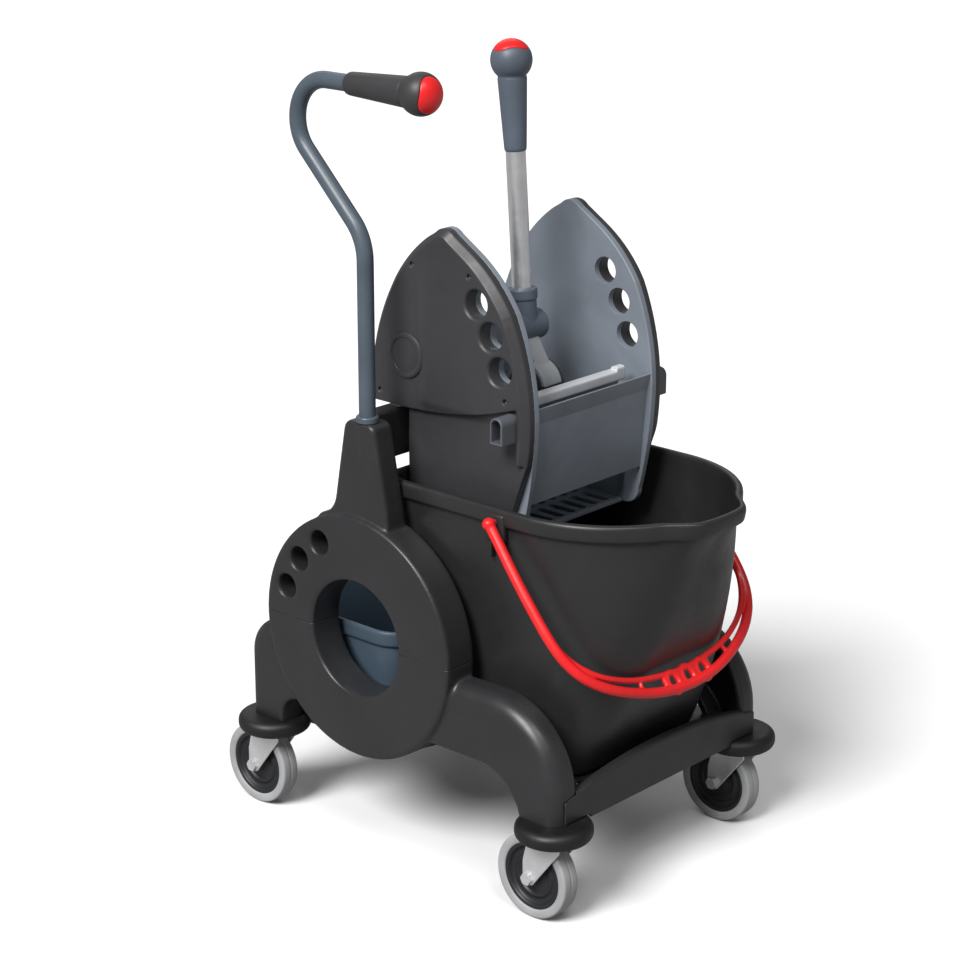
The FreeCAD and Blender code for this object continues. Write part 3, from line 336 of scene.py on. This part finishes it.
def softened(obj, voxel, rounds, keep=None):
    """Remesh evenly and relax, which rounds the edges and fills the inside corners as a mould does."""
    remesh = obj.modifiers.new("even", "REMESH")
    remesh.mode = "VOXEL"
    remesh.voxel_size = voxel
    relax = obj.modifiers.new("relax", "SMOOTH")
    relax.factor = 0.5
    relax.iterations = rounds
    settle(obj)
    if keep:
        thin = obj.modifiers.new("thin", "DECIMATE")
        thin.ratio = keep
        settle(obj)
    return obj


def frame_of(direction):
    """Rotation that takes +Z to a direction."""
    return Vector(direction).to_track_quat("Z", "Y").to_matrix().to_4x4()


def lathe(name, profile, origin, direction, steps=72):
    """Turned piece; profile is (radius, height) in millimetres, closed on the axis or on itself, or a
    function that gives it for an angle."""
    verts, faces = [], []
    for k in range(steps):
        a = 2 * math.pi * k / steps
        line = profile(a) if callable(profile) else profile
        verts += [(r * MM * math.cos(a), r * MM * math.sin(a), h * MM) for r, h in line]
    count = len(line)
    closed = line[0][0] > 1e-6
    for k in range(steps):
        for i in range(count if closed else count - 1):
            a, b = k * count + i, k * count + (i + 1) % count
            c, d = (k + 1) % steps * count + (i + 1) % count, (k + 1) % steps * count + i
            faces.append((a, b, c, d))
    obj = mesh_object(name, verts, faces)
    work = bmesh.new()
    work.from_mesh(obj.data)
    bmesh.ops.remove_doubles(work, verts=work.verts, dist=1e-6)
    bmesh.ops.recalc_face_normals(work, faces=work.faces)
    work.to_mesh(obj.data)
    work.free()
    obj.data.transform(Matrix.Translation(origin) @ frame_of(direction))
    smoothed(obj.data)
    return obj


def smooth_line(points, per=6):
    """Catmull-Rom through profile points, so that turned shapes have flowing outlines."""
    out = []
    for i in range(len(points) - 1):
        p0 = points[max(i - 1, 0)]
        p1, p2 = points[i], points[i + 1]
        p3 = points[min(i + 2, len(points) - 1)]
        for k in range(per):
            t = k / per
            out.append(tuple(0.5 * (2 * b + (c - a) * t + (2 * a - 5 * b + 4 * c - d) * t * t +
                                    (3 * b - a - 3 * c + d) * t ** 3) for a, b, c, d in zip(p0, p1, p2, p3)))
    out.append(points[-1])
    return out


def bar(name, points, radius, sides=12, cyclic=False):
    """Round bar along points in metres, smoothed by a NURBS spline."""
    curve = bpy.data.curves.new(name, "CURVE")
    curve.dimensions = "3D"
    curve.bevel_depth = radius
    curve.bevel_resolution = max(2, sides // 4)
    curve.use_fill_caps = True
    spline = curve.splines.new("NURBS")
    spline.points.add(len(points) - 1)
    for p, q in zip(spline.points, points):
        p.co = (*q, 1.0)
    spline.order_u = 4
    spline.use_endpoint_u = not cyclic
    spline.use_cyclic_u = cyclic
    spline.resolution_u = 10
    obj = placed(name, curve)
    made = placed(obj.name + "_mesh", final_mesh(obj))
    bpy.data.objects.remove(obj)
    bpy.data.curves.remove(curve)
    return made


def shrunk_rings(ring, shares):
    """Copies of a ring drawn in towards its middle, which close a floor."""
    middle = sum(ring, Vector()) / len(ring)
    return [[middle + (p - middle) * f for p in ring] for f in shares]


def skin(name, rings):
    """Closed mesh over rings of equal length, capped at both ends."""
    steps = len(rings[0])
    verts = [p for ring in rings for p in ring]
    faces = []
    for i in range(len(rings) - 1):
        low, high = i * steps, (i + 1) * steps
        for k in range(steps):
            after = (k + 1) % steps
            faces.append((low + k, low + after, high + after, high + k))
    faces.append(tuple(reversed(range(steps))))
    faces.append(tuple((len(rings) - 1) * steps + k for k in range(steps)))
    return mesh_object(name, verts, faces)


# ---- large bucket -------------------------------------------------------------------------------
SHUT = 0.02              # share of a ring's size at which a floor counts as closed
BUCKET_STEPS = 200       # points round a ring of the large bucket
SMALL_STEPS = 144        # points round a ring of the small bucket
LIP_DROP = 18.6          # how far the pouring lip pushes the rim forward, mm


def plan_point(half, rear, front, nose, share):
    """Point on the bucket's plan; share runs once round from the middle of the rear wall."""
    corner = min(30.0, half - 2)
    legs = [half - corner, corner * math.pi / 2, (rear - corner) - (front + nose[1]),
            (nose[0] + nose[1]) / 2 * math.pi / 2, half - nose[0]]
    mirrored = share > 0.5
    run = (1 - share if mirrored else share) * 2 * sum(legs)
    if run <= legs[0]:
        x, y = run, rear
    elif run <= sum(legs[:2]):
        a = (run - legs[0]) / corner
        x, y = half - corner + corner * math.sin(a), rear - corner + corner * math.cos(a)
    elif run <= sum(legs[:3]):
        x, y = half, rear - corner - (run - sum(legs[:2]))
    elif run <= sum(legs[:4]):
        a = (run - sum(legs[:3])) / legs[3] * math.pi / 2
        x, y = half - nose[0] * (1 - math.cos(a)), front + nose[1] * (1 - math.sin(a))
    else:
        x, y = half - nose[0] - (run - sum(legs[:4])), front
    return (-x if mirrored else x), y


SECTIONS = ((143.0, 121.0, 26.0, -203.0, 36.0, 36.0), (250.0, 130.0, 37.0, -253.0, 74.0, 72.0),
            (437.0, 145.0, 56.0, -297.0, 140.0, 146.0))


def wall_section(z):
    """Half width, rear, front and front-corner radii of the drafted wall at a height."""
    (z0, *a), (z1, *b), (z2, *c) = SECTIONS
    t = (z - z0) / (z2 - z0)
    m = (z1 - z0) / (z2 - z0) + 0.02
    out = []
    for p, q, r in zip(a, b, c):
        w0 = (t - m) * (t - 1) / m
        w1 = t * (t - 1) / (m * (m - 1))
        w2 = t * (t - m) / (1 - m)
        out.append(p * w0 + q * w1 + r * w2)
    return out


def step(t):
    t = max(0.0, min(1.0, t))
    return t * t * (3 - 2 * t)


def large_bucket():
    """Skin of rings from the middle of the underside, up the outside, over the rim and down inside."""
    foot = SECTIONS[0][0]
    rows = []          # height, inset from the wall (None: underside), size of the underside's ring
    for f in (0.0, 0.35, 0.62, 0.82):
        rows.append((foot, None, f))
    rows += [(foot + 0.6, 3.6, 0), (foot + 2.2, 1.6, 0), (foot + 4.6, 0.5, 0), (foot + 8, 0.0, 0)]
    rows += [(z, 0.0, 0) for z in (162, 174, 192, 212, 234, 256, 280, 304, 328, 352, 376, 398, 416, 428, 433)]
    rows += [(435.4, 0.4, 0)]
    rim = [(435.6, 3.6), (436.0, 1.4), (437.0, 0.4), (438.6, 0.0), (442, 0.0), (449.5, 0.0), (452.4, 0.5),
           (454.2, 1.9), (455, 4.0), (455, 6.2), (454.4, 7.9), (452.8, 8.9), (450, 9.2), (441, 9.2)]
    inside = [(z, 3.0, 0) for z in (433, 416, 398, 376, 352, 328, 304, 280, 256, 234, 212, 192, 174, 162,
                                    154)]
    inside += [(149.6, 3.8, 0), (147.8, 5.6, 0), (147.1, 9.0, 0)]
    rings = []
    steps = BUCKET_STEPS
    for z, inset, flat in rows + [(z, i, "rim") for z, i in rim] + inside:
        ring = []
        if inset is None:
            half, rear, front, nx, ny = wall_section(foot)
            cx, cy = 0.0, (rear + front) / 2
        elif flat == "rim":
            half, rear, front, nx, ny = 151 - inset, 62 - inset, -303 + inset, 145 - inset, 152 - inset
        else:
            half, rear, front, nx, ny = wall_section(z)
            half, rear, front, nx, ny = half - inset, rear - inset, front + inset, nx - inset, ny - inset
        for k in range(steps):
            x, y = plan_point(half, rear, front, (nx, ny), k / steps)
            if inset is None:
                x, y = cx + (x - cx) * max(flat, SHUT), cy + (y - cy) * max(flat, SHUT)
            else:
                lip = step((z - 396) / 56) * step((74 - abs(x)) / 40) * step((-y - 215) / 55)
                y -= LIP_DROP * lip
            ring.append(at(x, y, z))
        rings.append(ring)
    rings += shrunk_rings(rings[-1], (0.8, 0.55, 0.3, SHUT))
    done(skin("bucket_shell", rings), "frame", "bucket_plastic", "bucket")
    for side, sign in (("left", -1), ("right", 1)):
        ear = bail_ear(f"bail_ear_{side}", sign)
        done(ear, "frame", "bucket_plastic")


def rounded_box(name, low, high, radius, segments=3):
    work = bmesh.new()
    bmesh.ops.create_cube(work, size=1.0)
    for v in work.verts:
        v.co = Vector(low[i] if v.co[i] < 0 else high[i] for i in range(3))
    mesh = bpy.data.meshes.new(name)
    work.to_mesh(mesh)
    work.free()
    obj = placed(name, mesh)
    bevel = obj.modifiers.new("round", "BEVEL")
    bevel.width = radius
    bevel.segments = segments
    return settle(obj)


def bail_ear(name, sign):
    """Pad under the rim that takes the bail's stud, with two ribs below it."""
    x = sorted((sign * 143.6, sign * 153.6))
    pad = rounded_box(name + "_pad", at(x[0], -133, 417), at(x[1], -107, 449.5), 3.2 * MM, 4)
    ribs = []
    for y in (-129, -111):
        x = sorted((sign * 140.4, sign * 149.5))
        ribs.append(rounded_box(f"{name}_rib{y}", at(x[0], y - 1.6, 396), at(x[1], y + 1.6, 420), 1.2 * MM))
    return joined(name, [pad] + ribs)


# ---- small bucket -------------------------------------------------------------------------------
def small_bucket():
    rows = [(134.3, None, f) for f in (0.0, 0.5, 0.85)]
    rows += [(134.6, 6.4, 0), (135.6, 4.9, 0), (137.5, 4.2, 0), (142, 4.0, 0)]
    rows += [(z, 4.0, 0) for z in (160, 180, 200, 220, 234)]
    rows += [(237.2, 4.0, 0), (238, 2.6, 0), (238.1, 1.0, 0), (239.2, 0.1, 0), (242, 0, 0), (252, 0, 0),
             (255.4, 0.4, 0), (256.7, 1.6, 0), (257, 3.2, 0), (256.6, 5.2, 0), (255.2, 6.2, 0), (250, 6.5, 0)]
    rows += [(z, 6.5, 0) for z in (230, 205, 180, 155, 144)]
    rows += [(139.4, 7.4, 0), (137.6, 10.0, 0)]
    steps = SMALL_STEPS
    rings = []
    for z, inset, flat in rows:
        drop = (257 - z) * math.tan(math.radians(5.0))
        i = 4.0 if inset is None else inset
        half, y0, y1 = 140 - drop - i, 42 + drop + i, 235 - drop - i
        corner = max(20.0, 38.0 - i)
        arc = corner * math.pi / 2
        legs = [half - corner, arc, y1 - y0 - 2 * corner, arc, half - corner]
        ring = []
        for k in range(steps):
            share = k / steps
            mirrored = share > 0.5
            run = (1 - share if mirrored else share) * 2 * sum(legs)
            if run <= legs[0]:
                x, y = run, y1
            elif run <= sum(legs[:2]):
                a = (run - legs[0]) / corner
                x, y = half - corner + corner * math.sin(a), y1 - corner + corner * math.cos(a)
            elif run <= sum(legs[:3]):
                x, y = half, y1 - corner - (run - sum(legs[:2]))
            elif run <= sum(legs[:4]):
                a = (run - sum(legs[:3])) / corner
                x, y = half - corner + corner * math.cos(a), y0 + corner - corner * math.sin(a)
            else:
                x, y = sum(legs) - run, y0
            if mirrored:
                x = -x
            if inset is None:
                f = max(flat, SHUT)
                x, y = x * f, (y0 + y1) / 2 + (y - (y0 + y1) / 2) * f
            ring.append(at(x, y, z))
        rings.append(ring)
    rings += shrunk_rings(rings[-1], (0.6, SHUT))
    done(skin("small_bucket_shell", rings), "rear_bucket", "small_bucket_blue", "rear_bucket")


# ---- bail ---------------------------------------------------------------------------------------
BAIL_PIVOT = (-120.0, 440.0)
BAIL_REST = math.radians(39.8)


def bail_point(x, s):
    """Point in the bail's own plane: x across, s away from the pivots."""
    return at(x, BAIL_PIVOT[0] - s * math.sin(BAIL_REST), BAIL_PIVOT[1] - s * math.cos(BAIL_REST))


def both_ways(points):
    """A path given from the left arm to the middle, carried on to the right arm."""
    return points + [(-x, s) for x, s in reversed(points) if x < 0]


def bail_handle():
    outer = both_ways([(-161.5, -1), (-162.4, 20), (-164.3, 44), (-166, 70), (-167, 113), (-166.3, 150),
                       (-160.4, 176), (-145, 200.4), (-118, 220.6), (-84, 235.1), (-51.5, 244.5),
                       (-22, 248.4), (0, 249)])
    rail = both_ways([(-165.0, 138), (-161.8, 156), (-154, 173.2), (-138, 191.6), (-118.5, 205.5),
                      (-87.5, 218.8), (-55.5, 225.6), (-21, 229.4), (0, 230)])
    made = [bar("bail_outer", [bail_point(x, s) for x, s in outer], 6.0 * MM, 20),
            bar("bail_rail", [bail_point(x, s) for x, s in rail], 3.6 * MM, 16)]
    for x, lean in ((-75, -3), (75, 3)):
        line = [bail_point(x - lean, 221), bail_point(x, 230), bail_point(x + lean, 239)]
        made.append(bar("post", line, 2.6 * MM, 12))
    for x in (-26.0, 0.0, 26.0):
        ring = [bail_point(x + 9.8 * math.cos(a * math.pi / 6), 239.6 + 12.2 * math.sin(a * math.pi / 6))
                for a in range(12)]
        made.append(bar("ring", ring, 3.9 * MM, 16, True))
    for x in (-37.5, -13.0, 13.0, 37.5):
        line = [bail_point(x, 229), bail_point(x, 240), bail_point(x, 249)]
        made.append(bar("web", line, 3.3 * MM, 12))
    for sign in (-1, 1):
        knob = [(0, -7.4), (3.4, -6.8), (6.2, -4), (7.2, 0), (6.2, 4), (3.4, 6.8), (0, 7.4)]
        made.append(lathe("knob", smooth_line(knob, 4), bail_point(sign * 161.5, 0), Vector((1, 0, 0)), 32))
        stud = [(0, -9), (4.0, -9), (4.0, 9), (0, 9)]
        made.append(lathe("stud", stud, bail_point(sign * 154.5, 0), Vector((1, 0, 0)), 32))
    handle = softened(joined("bail_handle", made), 0.85 * MM, 3, 0.5)
    done(handle, "bail", "red_plastic", "bail")


# ---- mouldings that follow the frame's solids ---------------------------------------------------
def bulged(obj, amount):
    """Move each vertex by amount(x, y, z), given and returned in millimetres."""
    for v in obj.data.vertices:
        x, y, z = v.co.x / MM, v.co.y / MM - FRAME_Y, v.co.z / MM
        v.co += Vector(amount(x, y, z)) * MM


def cover_bulge(sign):
    """The shield swells out ahead of a soft upright crease; the wall below is gently rounded."""
    def amount(x, y, z):
        if abs(x) < 112:
            return (0, 0, 0)
        out = 0.0
        if z > 532:
            rise = max(0.0, min(1.0, (22 - y) / 24))
            rise = 1 - (1 - rise) ** 2
            out = 3.0 * rise * step((y + 132) / 70) * step((728 - z) / 90) * step((z - 532) / 14)
        elif z < 528:
            out = -2.4 * step((448 - z) / 30) + 0.9 * math.sin(math.pi * step((z - 425) / 105))
        return (sign * out, 0, 0)
    return amount


PARTING_Z = 267.5 * MM


def half_above(name, whole, up):
    """The part of a side moulding on one side of the parting line, with a fine chamfer along it.
    up is 1 for the lower half, whose outside of the cut faces up, and -1 for the upper half."""
    work = bmesh.new()
    work.from_mesh(whole.data)
    for offset, clear in ((0.0, True), (-0.7 * MM * up, False)):
        parts = work.verts[:] + work.edges[:] + work.faces[:]
        bmesh.ops.bisect_plane(work, geom=parts, plane_co=(0, 0, PARTING_Z + offset), plane_no=(0, 0, up),
                               clear_outer=clear)
    rim = [v for v in work.verts if abs(v.co.z - PARTING_Z) < 1e-6]
    work.normal_update()
    for v in rim:
        v.co -= Vector((v.normal.x, v.normal.y, 0)) * 0.4 * MM
    bmesh.ops.holes_fill(work, edges=[e for e in work.edges if e.is_boundary], sides=0)
    mesh = bpy.data.meshes.new(name)
    work.to_mesh(mesh)
    work.free()
    smoothed(mesh)
    return placed(name, mesh)


def mouldings():
    for side, sign in (("left", -1), ("right", 1)):
        plug = lathe("plug", [(0, 474), (11.5, 474), (11.5, 524.6), (0, 524.6)], at(sign * 175, 50, 0),
                     Vector((0, 0, 1)), 48)
        shape = copied("frame", f"side_frame_lower_{side}", f"side_frame_upper_{side}")
        whole = softened(joined("side", [shape, plug]), 1.9 * MM, 9)
        if side == "right":
            bore = lathe("bore", [(0, 476), (9.6, 476), (9.6, 523.4), (11.4, 526), (11.4, 530), (0, 530)],
                         at(175, 50, 0), Vector((0, 0, 1)), 64)
            cut = whole.modifiers.new("socket", "BOOLEAN")
            cut.object = bore
            cut.operation = "DIFFERENCE"
            cut.solver = "EXACT"
            settle(whole)
            bpy.data.objects.remove(bore)
            whole.data.set_sharp_from_angle(angle=math.radians(40))
        for half, up in (("lower", 1), ("upper", -1)):
            piece = half_above(f"side_{half}_{side}", whole, up)
            done(piece, "frame", "frame_plastic", f"side_frame_{half}_{side}")
        bpy.data.objects.remove(whole)
        cover = softened(copied(f"cover_shell_{side}", f"wringer_cover_{side}"), 1.05 * MM, 3)
        bulged(cover, cover_bulge(sign))
        done(cover, "frame", "cover_plastic", f"wringer_cover_{side}")
        peg = softened(copied(f"peg_{side}", f"side_peg_{side}"), 0.55 * MM, 3)
        done(peg, "frame", "wringer_dark", f"side_peg_{side}")
    done(softened(copied("apron", "front_beam"), 1.1 * MM, 4, 0.6), "frame", "frame_plastic", "front_beam")
    done(softened(copied("yoke", "lever_yoke"), 0.7 * MM, 6), "lever", "cast_grey", "lever_yoke")
    done(softened(copied("socket", "lever_socket"), 0.6 * MM, 4), "lever", "grip_slate", "lever_socket")
    done(softened(copied("jaw", "press_plate"), 0.9 * MM, 2), "lever", "jaw_light", "press_plate")


BLOCK_END = 0.135        # the tray's front block is bevelled beyond this, below BLOCK_LOW, up to BLOCK_BEVEL
BLOCK_LOW = 0.118
BLOCK_BEVEL = 0.127
LEG_SHELVES = ((-160, -98, -190), (98, 168, -122))       # left, right and rear edge of each, mm
SHELF_RIBS = (-224, -198)


def tray():
    """The tray, its block bevelled under the ends, with the ribbed shelf at the foot of each front leg."""
    plate = copied("tray_plate", "base_tray")
    front, rear = at(0, 5, 0).y, at(0, 55, 0).y
    for vert in plate.data.vertices:
        if abs(vert.co.x) > BLOCK_END and vert.co.z < BLOCK_LOW and front < vert.co.y < rear:
            vert.co.z = BLOCK_BEVEL
    made = [plate]
    for low, high, back in LEG_SHELVES:
        made.append(rounded_box("shelf", at(low, -238, 129), at(high, back, 136), 2.0 * MM))
        for y in SHELF_RIBS:
            made.append(rounded_box("shelf_rib", at(low, y - 1.6, 134), at(high, y + 1.6, 140.5), 1.2 * MM))
    done(softened(joined("tray", made), 1.3 * MM, 3, 0.6), "frame", "frame_plastic", "base_tray")


# ---- grips --------------------------------------------------------------------------------------
GRIP_BALL = 23.5


def grip_pieces(name, body, ball, neck, belly, origin, direction, slot, node, cap_node):
    """Tapered grip that ends in a ball, whose end is a red cap with a waved edge, flush with it."""
    def seam(a):
        return 56.0 + 5.0 * math.cos(3 * a + 0.6)

    def on_ball(polar, sunk=0.0):
        t = math.radians(polar)
        return (GRIP_BALL - sunk) * math.sin(t), ball + (GRIP_BALL - sunk) * math.cos(t)

    taper = [(0, 1.5), (neck - 3.2, 1.5), (neck - 2.4, 0.3), (neck - 1.4, 0.0), (neck - 0.6, 1.0),
             (neck - 0.1, 3.2), (neck + 0.1, 6.0)]
    reach = ball - 21.0
    taper += [(neck + 0.1 + (belly - neck - 0.1) * t, 6.0 + (reach - 6.0) * t)
              for t in (0.12, 0.25, 0.4, 0.55, 0.7, 0.85, 0.95, 1.0)]
    taper += [(belly, ball - 20.2), (belly - 0.4, ball - 18.6), (belly - 0.5, ball - 17.2)]
    first = 180 - math.degrees(math.asin((belly - 0.3) / GRIP_BALL))

    def shell(a):
        last = seam(a) + 1.4
        line = [on_ball(first - 3 + (last - first + 3) * k / 22) for k in range(1, 23)]
        lip = [on_ball(last - 0.8, 0.3), on_ball(last - 1.0, 1.2), on_ball(last - 1.0, 4.0), (0, ball + 4)]
        return taper + line + lip

    def cap(a):
        edge = seam(a)
        line = [on_ball(edge - edge * k / 18) for k in range(1, 19)]
        return [(0, ball + 4.6), on_ball(edge, 4.6), on_ball(edge, 1.2), on_ball(edge - 0.4, 0.3)] + line

    done(lathe(name, shell, origin, direction, 96), body, slot, node)
    done(lathe(name + "_cap", cap, origin, direction, 96), body, "red_plastic", cap_node)


# ---- castors ------------------------------------------------------------------------------------
CASTOR_X = 168           # castors' swivel axes, mm from the middle
CASTOR_Y = 222.7
TRAIL = 23.4             # how far a wheel's axle lies behind its swivel axis, mm
AXLE_Z = 50


def castors():
    shoulder = [(39.1, 9.6), (39.6, 10.5), (40.8, 11.0), (43.0, 11.35), (46.0, 11.45), (47.8, 11.4),
                (48.8, 11.0), (49.5, 10.2), (49.85, 9.0), (49.95, 7.0), (50.0, 3.0), (50.0, 0.5),
                (49.75, 0.15)]
    tyre = shoulder + [(r, -h) for r, h in reversed(shoulder)]
    half = [(4.06, 12.2), (9.2, 12.2), (10, 11.6), (10.4, 7.2), (11.6, 6.0), (20.6, 4.1), (22.2, 4.6),
            (23.0, 6.4), (24.4, 6.8), (26.0, 6.2), (27.0, 4.6), (28.4, 4.2), (32.6, 4.6), (34.0, 6.6),
            (35.0, 9.0), (36.2, 9.6), (39.0, 9.6)]
    hub = half + [(r, -h) for r, h in reversed(half)]
    across = Vector((1, 0, 0))
    for name, x, y in (("front_left", -CASTOR_X, -CASTOR_Y), ("front_right", CASTOR_X, -CASTOR_Y),
                       ("rear_left", -CASTOR_X, CASTOR_Y), ("rear_right", CASTOR_X, CASTOR_Y)):
        centre = at(x, y + TRAIL, AXLE_Z)
        wheel = f"castor_wheel_{name}"
        done(lathe(f"tyre_{name}", tyre, centre, across, 96), wheel, "tyre_rubber", f"castor_tyre_{name}")
        done(lathe(f"hub_{name}", hub, centre, across, 96), wheel, "hub_plastic", f"castor_hub_{name}")
        fork = softened(copied(f"fork_{name}", f"castor_fork_{name}"), 0.6 * MM, 3)
        done(fork, f"castor_swivel_{name}", "zinc_steel", f"castor_fork_{name}")


LEVER_LEAN = math.radians(3.9)       # how far the lever leans back at rest
LEVER_AXIS = Vector((0, math.sin(LEVER_LEAN), math.cos(LEVER_LEAN)))

large_bucket()
small_bucket()
bail_handle()
mouldings()
tray()
castors()
grip_pieces("lever_handle", "lever", 100.5, 12.7, 16.5, at(0, -27, 614) + LEVER_AXIS * 199 * MM, LEVER_AXIS,
            "grip_slate", "lever_grip", "lever_cap")
grip_pieces("push_grip", "frame", 105.0, 13.0, 17.0, at(-175, 69, 899.3), Vector((0, -1, 0)), "grip_black",
            "push_handle_grip", "push_handle_cap")


# ---- floor, light and camera --------------------------------------------------------------------
SUNS = (("key", (-0.92, -0.12, 0.88), 26, 3.8),          # name, direction towards it, width, strength
        ("fill", (-0.45, -0.75, 1.3), 20, 0.75),
        ("rim", (0.8, 1.0, 0.9), 40, 0.25))
FLOOR_HALF = 30
VIEW_AZIMUTH = math.radians(-47.66)
VIEW_ELEVATION = math.radians(18.13)
VIEW_FROM = (-2.061, -1.825, 1.329)
LENS = 93.76


def studio():
    net = Net("floor")
    seen = net.new("ShaderNodeLightPath").outputs["Is Camera Ray"]
    tint = net.blend(seen, (0.30, 0.30, 0.303), (0.95, 0.95, 0.95))
    dull = net.spread(net.noise(9, 3.0), 0.3, 0.7, 0.82, 0.88)
    net.finish(tint, dull, net.bump(net.noise(300, 2.0), 0.04, 0.0004))
    net.shader.inputs["Specular IOR Level"].default_value = 0.1
    mesh = bpy.data.meshes.new("floor")
    h = FLOOR_HALF
    mesh.from_pydata([(-h, -h, 0), (h, -h, 0), (h, h, 0), (-h, h, 0)], [], [(0, 1, 2, 3)])
    mesh.materials.append(net.mat)
    floor = placed("floor", mesh)

    world = bpy.data.worlds.new("studio")
    world.use_nodes = True
    world.node_tree.nodes["Background"].inputs["Color"].default_value = (1, 1, 1, 1)
    world.node_tree.nodes["Background"].inputs["Strength"].default_value = 0.20
    bpy.context.scene.world = world

    for name, toward, width, strength in SUNS:
        sun = placed(name, bpy.data.lights.new(name, "SUN"))
        sun.data.angle = math.radians(width)
        sun.data.energy = strength
        sun.rotation_mode = "QUATERNION"
        sun.rotation_quaternion = Vector(toward).to_track_quat("Z", "Y")


def camera():
    flat = math.cos(VIEW_ELEVATION)
    back = Vector((math.sin(VIEW_AZIMUTH) * flat, -math.cos(VIEW_AZIMUTH) * flat, math.sin(VIEW_ELEVATION)))
    cam = placed("camera", bpy.data.cameras.new("camera"))
    cam.data.sensor_width = 36.0
    cam.data.lens = LENS
    cam.data.clip_end = 100.0
    cam.rotation_mode = "QUATERNION"
    cam.rotation_quaternion = (-back).to_track_quat("-Z", "Y")
    cam.location = VIEW_FROM
    bpy.context.scene.camera = cam


studio()
camera()
bpy.context.scene.view_settings.view_transform = "Standard"
